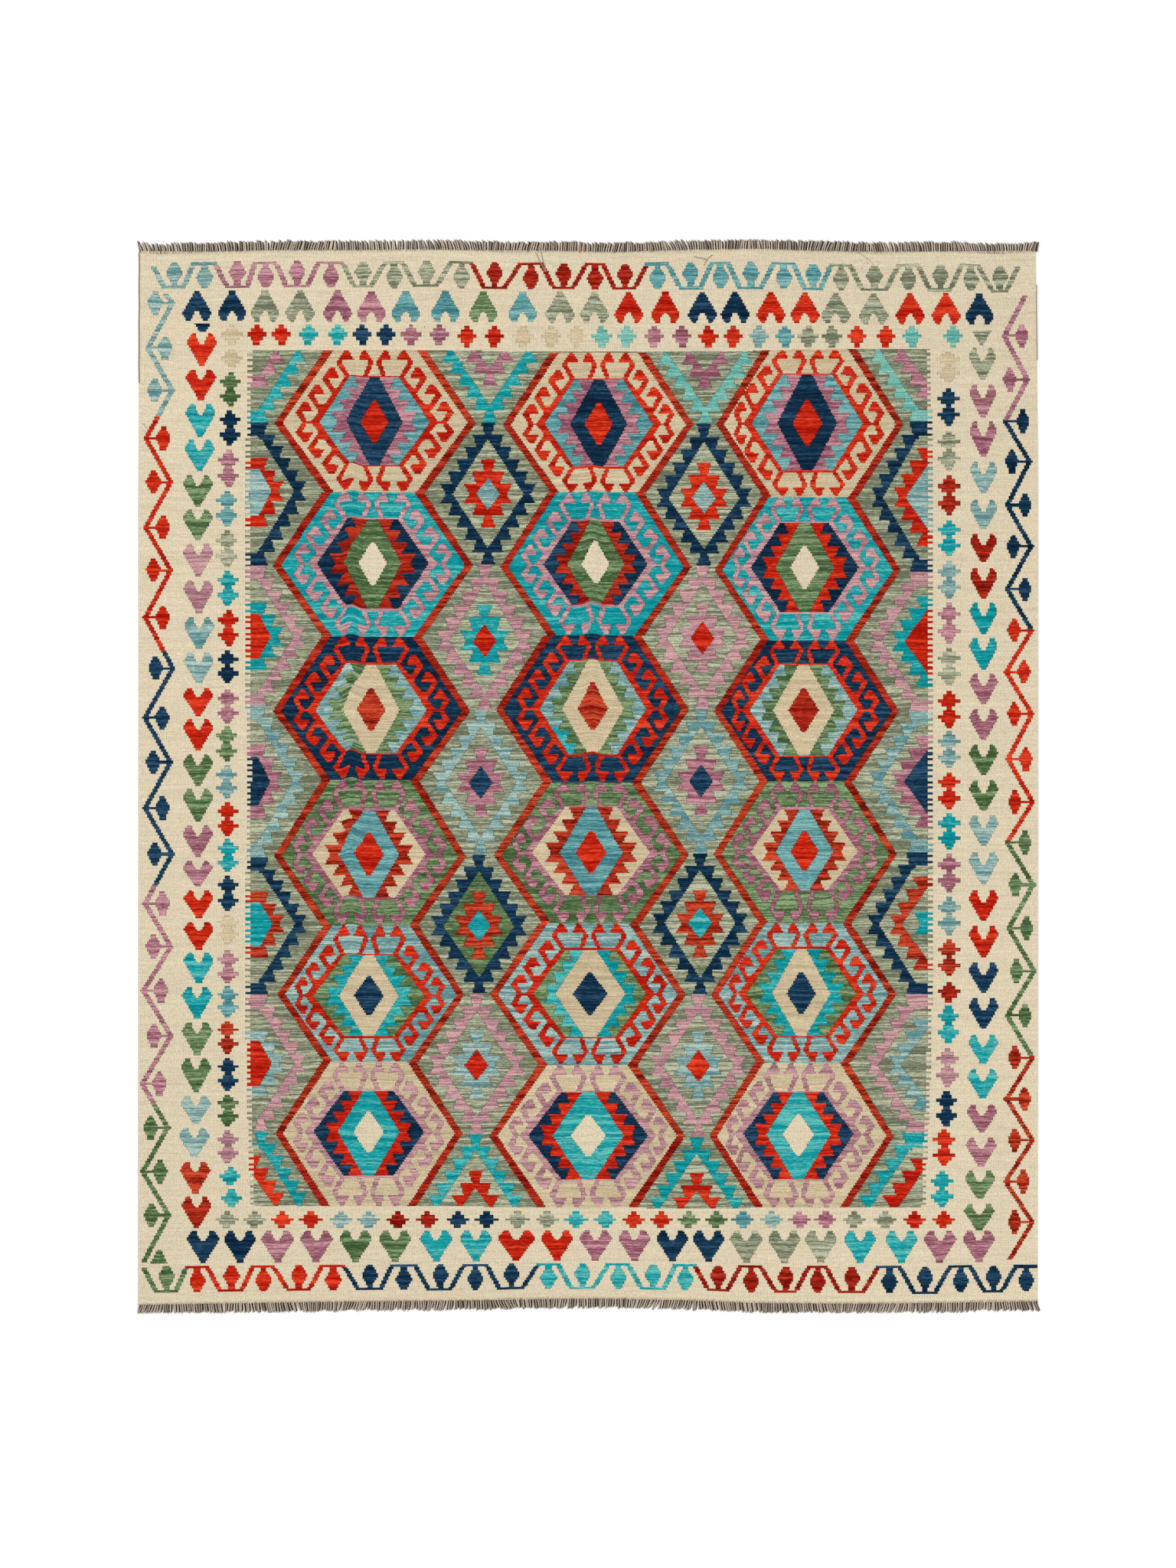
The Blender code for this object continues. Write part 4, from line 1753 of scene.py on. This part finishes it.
@dataclass
class Fringe:
    """The twisted warp ends along one woven end, with the knots at their roots."""

    end: End
    seed: int
    strands: int = 380
    radius: float = 0.00142
    length: float = 0.0300
    twists: float = 2.6
    sections: int = 8
    waves: tuple[tuple[float, float], ...] = ((0.0060, 0.058), (0.0042, 0.14), (0.0024, 0.36))
    tucked: float = 0.0015
    side_limit: float = CLOTH_WIDTH / 2 + 0.002
    tip_limit: float = OVERALL_LENGTH / 2 + 0.001

    def edge(self, x: float) -> float:
        """How far the woven end reaches from the middle of the rug."""
        return CLOTH_LENGTH / 2 + along(TOP_END if self.end is End.TOP else BOTTOM_END, x)

    def build(self) -> bpy.types.Object:
        """Lay the strands, a dark layer under them that is painted shadow between the strands,
        and a slanting stitch at each root.

        Returns:
            The piece.
        """
        dice = random.Random(self.seed)
        yarns = Yarns(sides=4)
        pitch = CLOTH_WIDTH / self.strands
        waves = [(size, pace, dice.uniform(0, 2 * math.pi)) for size, pace in self.waves]
        for strand in range(self.strands):
            x = -CLOTH_WIDTH / 2 + (strand + 0.5) * pitch + dice.uniform(-0.2, 0.2) * pitch
            lean = sum(size * math.sin(strand * pace + begin) for size, pace, begin in waves)
            lean += dice.uniform(-0.0024, 0.0024)
            lean = max(-self.side_limit, min(self.side_limit, x + lean)) - x
            start = self.edge(x) - self.tucked
            reach = min(self.length + dice.uniform(-0.0040, 0.0024), self.tip_limit - start)
            self.lay_strand(yarns, dice, x, lean, start, reach)
            # Painted shadow: a dark strand under the gap beside this one stands in for the shade
            # between the strands.
            under = x + pitch / 2 * (1 if x < self.side_limit - pitch else -1)
            path = [self.place(under + lean * t ** 1.2, start + (reach - 0.003) * t, 0.0011)
                    for t in (0.0, 0.5, 1.0)]
            yarns.add(path, [0.0023, 0.0023, 0.0018], dice.random(), 1, 0.45)
            self.lay_stitch(yarns, dice, x + pitch * 0.25)
        return yarns.piece(f"warp_fringe_{self.end.name.lower()}", [
            WARP_WOOL.material(), WARP_GAP_SHADOW.material(), BINDING_WOOL.material()])

    def place(self, x: float, reach: float, z: float) -> Vector:
        """A point beyond the woven end, reach metres from the middle of the rug."""
        return Vector((x, self.end.value * reach, z))

    def lay_strand(self, yarns: Yarns, dice: random.Random, x: float, lean: float,
                   start: float, reach: float) -> None:
        """Lay one strand of two plies twisted round each other.

        Args:
            yarns: The yarns it is added to.
            dice: Source of the strand's own turn, shade and height.
            x: Place of its root across the rug.
            lean: How far its tip lies to the right of its root.
            start: Distance of its root from the middle of the rug.
            reach: Its length along the rug.
        """
        phase = dice.uniform(0, 2 * math.pi)
        shade = min(1.0, max(0.0, dice.gauss(0.62, 0.25)))
        over = dice.uniform(0.0, 0.0012)
        off = self.radius * 0.8
        for ply in (0, 1):
            path, radii = [], []
            for section in range(self.sections + 1):
                t = section / self.sections
                turn = phase + math.pi * ply + 2 * math.pi * self.twists * t
                path.append(self.place(
                    x + lean * t ** 1.2 + off * math.cos(turn), start + reach * t,
                    0.0023 + over + off * 0.6 * math.sin(turn) + 0.0008 * (1 - t)))
                radii.append(self.radius * (1.0 if t < 0.85 else 0.75))
            yarns.add(path, radii, shade, 0)

    def lay_stitch(self, yarns: Yarns, dice: random.Random, x: float) -> None:
        """Lay the slanting stitch that holds a strand's root.

        Args:
            yarns: The yarns it is added to.
            dice: Source of its shade.
            x: Its place across the rug.
        """
        edge = self.edge(x)
        top = self.place(x - 0.0022, edge + 0.0016, 0.0034)
        foot = self.place(x + 0.0024, edge - 0.0052, 0.0030)
        yarns.add([top, (top + foot) / 2 + Vector((0, 0, 0.0010)), foot],
                  [0.0006, 0.0010, 0.0006], dice.random(), 2)


class Loose(IntEnum):
    """Finishes of the loose yarn ends, in the order of their materials."""

    GREY = 0
    ORANGE = 1
    DARK = 2
    # The darker cords laid along the upper parts of the selvedges.
    WARP = 3


# Loose yarn ends lying on the rug: finish, radius and points on the ruled sheet. The last
# ones are darker grey-brown cords laid along the upper parts of the left and right selvedges.
LOOSE_YARNS = (
    (Loose.GREY, 0.0012, ((699, 329.5), (703, 338), (708, 347), (712, 355))),
    (Loose.GREY, 0.0011, ((706, 328.6), (708, 338), (711, 347), (712.5, 355))),
    (Loose.GREY, 0.0015, ((906, 335), (911, 337), (917, 337.5), (922, 339))),
    (Loose.GREY, 0.0010, ((930, 333), (925, 337), (921, 342), (919, 348))),
    (Loose.GREY, 0.0006, ((1119, 330), (1127, 334), (1135, 340), (1141, 347))),
    (Loose.ORANGE, 0.0010, ((757, 331), (758.5, 326), (758, 320))),
    (Loose.ORANGE, 0.0009, ((981, 1636.5), (984, 1637.5), (987, 1637))),
    (Loose.DARK, 0.0004, ((186, 553), (189, 556), (191, 559.5), (195, 562))),
    (Loose.DARK, 0.0007, ((1131.5, 337.5), (1133, 339))),
    (Loose.DARK, 0.0007, ((1131.5, 343), (1133, 344.5))),
    (Loose.DARK, 0.0006, ((1125, 350), (1126, 351.5))),
    (Loose.DARK, 0.0006, ((553, 426), (554.5, 427.5))),
    (Loose.DARK, 0.0006, ((580.5, 425.5), (582, 427))),
    (Loose.WARP, 0.0015, ((181.3, 330), (181.6, 350), (181.2, 375), (181.5, 400),
                          (181.0, 425), (181.3, 450), (181.0, 475), (181.4, 500))),
    (Loose.WARP, 0.0011, ((1353.6, 372), (1353.2, 395), (1353.5, 420), (1353.9, 445),
                          (1354.2, 470))),
)


@dataclass
class LooseYarns:
    """The short yarn ends left lying on the face of the rug."""

    sides: int = 5

    def build(self) -> bpy.types.Object:
        """Lay each yarn end on the cloth.

        Returns:
            The piece.
        """
        yarns = Yarns(sides=self.sides)
        for slot, radius, spots in LOOSE_YARNS:
            path = []
            for right, down in spots:
                x = (right - SHEET_LEFT) * CHART_UNIT - CLOTH_WIDTH / 2
                y = CLOTH_LENGTH / 2 - (down - SHEET_TOP) * CHART_UNIT
                path.append(Vector((x, y, crease_height(x, y) + CLOTH_THICKNESS + radius)))
            yarns.add(path, [radius] * len(path), 0.6, slot)
        return yarns.piece("loose_yarns", [GREY_THREAD.material(), ORANGE_THREAD.material(),
                                           DARK_THREAD.material(), DARK_EDGE_CORD.material()])


@dataclass
class Studio:
    """Pale floor, soft light and a camera straight above the rug."""

    lens: float = 85.0
    sensor: float = 36.0
    view_height: float = VIEW_UNITS * CHART_UNIT
    middle: tuple[float, float] = (-0.0005, -0.0213)

    def build(self) -> None:
        """Set up the floor, the lights, the world and the camera."""
        scene = bpy.context.scene
        floor = finish_mesh("studio_floor", [(-9, -9, -0.0002), (9, -9, -0.0002),
                                             (9, 9, -0.0002), (-9, 9, -0.0002)],
                            [(0, 1, 2, 3)])
        paint = Nodes.start("pale_floor", {"Base Color": (0.97, 0.97, 0.97, 1.0),
                                           "Roughness": 0.9, "Specular IOR Level": 0.1})
        floor.data.materials.append(paint.material)

        for name, place, size, power in (
            ("key_light", (-6.0, 4.5, 6.5), 4.0, 440.0),
            ("fill_light", (5.5, -4.5, 7.5), 6.0, 500.0),
        ):
            lamp = bpy.data.lights.new(name, "AREA")
            lamp.energy = power
            lamp.size = size
            light = bpy.data.objects.new(name, lamp)
            light.location = place
            light.rotation_mode = "QUATERNION"
            light.rotation_quaternion = (Vector((0, 0, 0)) - Vector(place)).to_track_quat(
                "-Z", "Y")
            scene.collection.objects.link(light)

        world = bpy.data.worlds.new("studio_air")
        world.use_nodes = True
        sky = world.node_tree.nodes["Background"]
        sky.inputs["Color"].default_value = (1.0, 1.0, 1.0, 1.0)
        sky.inputs["Strength"].default_value = 0.6
        scene.world = world
        scene.view_settings.view_transform = "Standard"

        eye = bpy.data.cameras.new("camera")
        eye.lens = self.lens
        eye.sensor_width = self.sensor
        camera = bpy.data.objects.new("camera", eye)
        camera.location = (*self.middle, self.view_height * self.lens / self.sensor)
        eye.clip_start, eye.clip_end = 0.1, 100.0
        scene.collection.objects.link(camera)
        scene.camera = camera


def main() -> None:
    """Weave the rug, lay it out and light it."""
    chart = Chart()
    Field().weave(chart)
    Borders().weave(chart)
    weave = Weave(chart)
    weave.gather()
    made = {yarn: wool.material() for yarn, wool in WOOLS.items()}
    wools = [*(made[yarn] for yarn in Yarn), BINDING_WOOL.material()]
    cloth = weave.face("kilim_face", True, wools)
    back = weave.face("kilim_back", False, wools)
    top = Fringe(End.TOP, 5).build()
    bottom = Fringe(End.BOTTOM, 6).build()
    loose = LooseYarns().build()
    for piece, node, slot in (
        (cloth, "kilim_cloth", "woven_wool"), (back, "kilim_cloth", "woven_wool"),
        (top, "fringe_top", "fringe_wool"), (bottom, "fringe_bottom", "fringe_wool"),
    ):
        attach(piece, "root")
        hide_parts(node)
        log.info("%s: %d faces", piece.name, len(piece.data.polygons))
    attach(loose, "root")
    Studio().build()


if __name__ == "__main__":
    logging.basicConfig(level=logging.INFO)
    main()
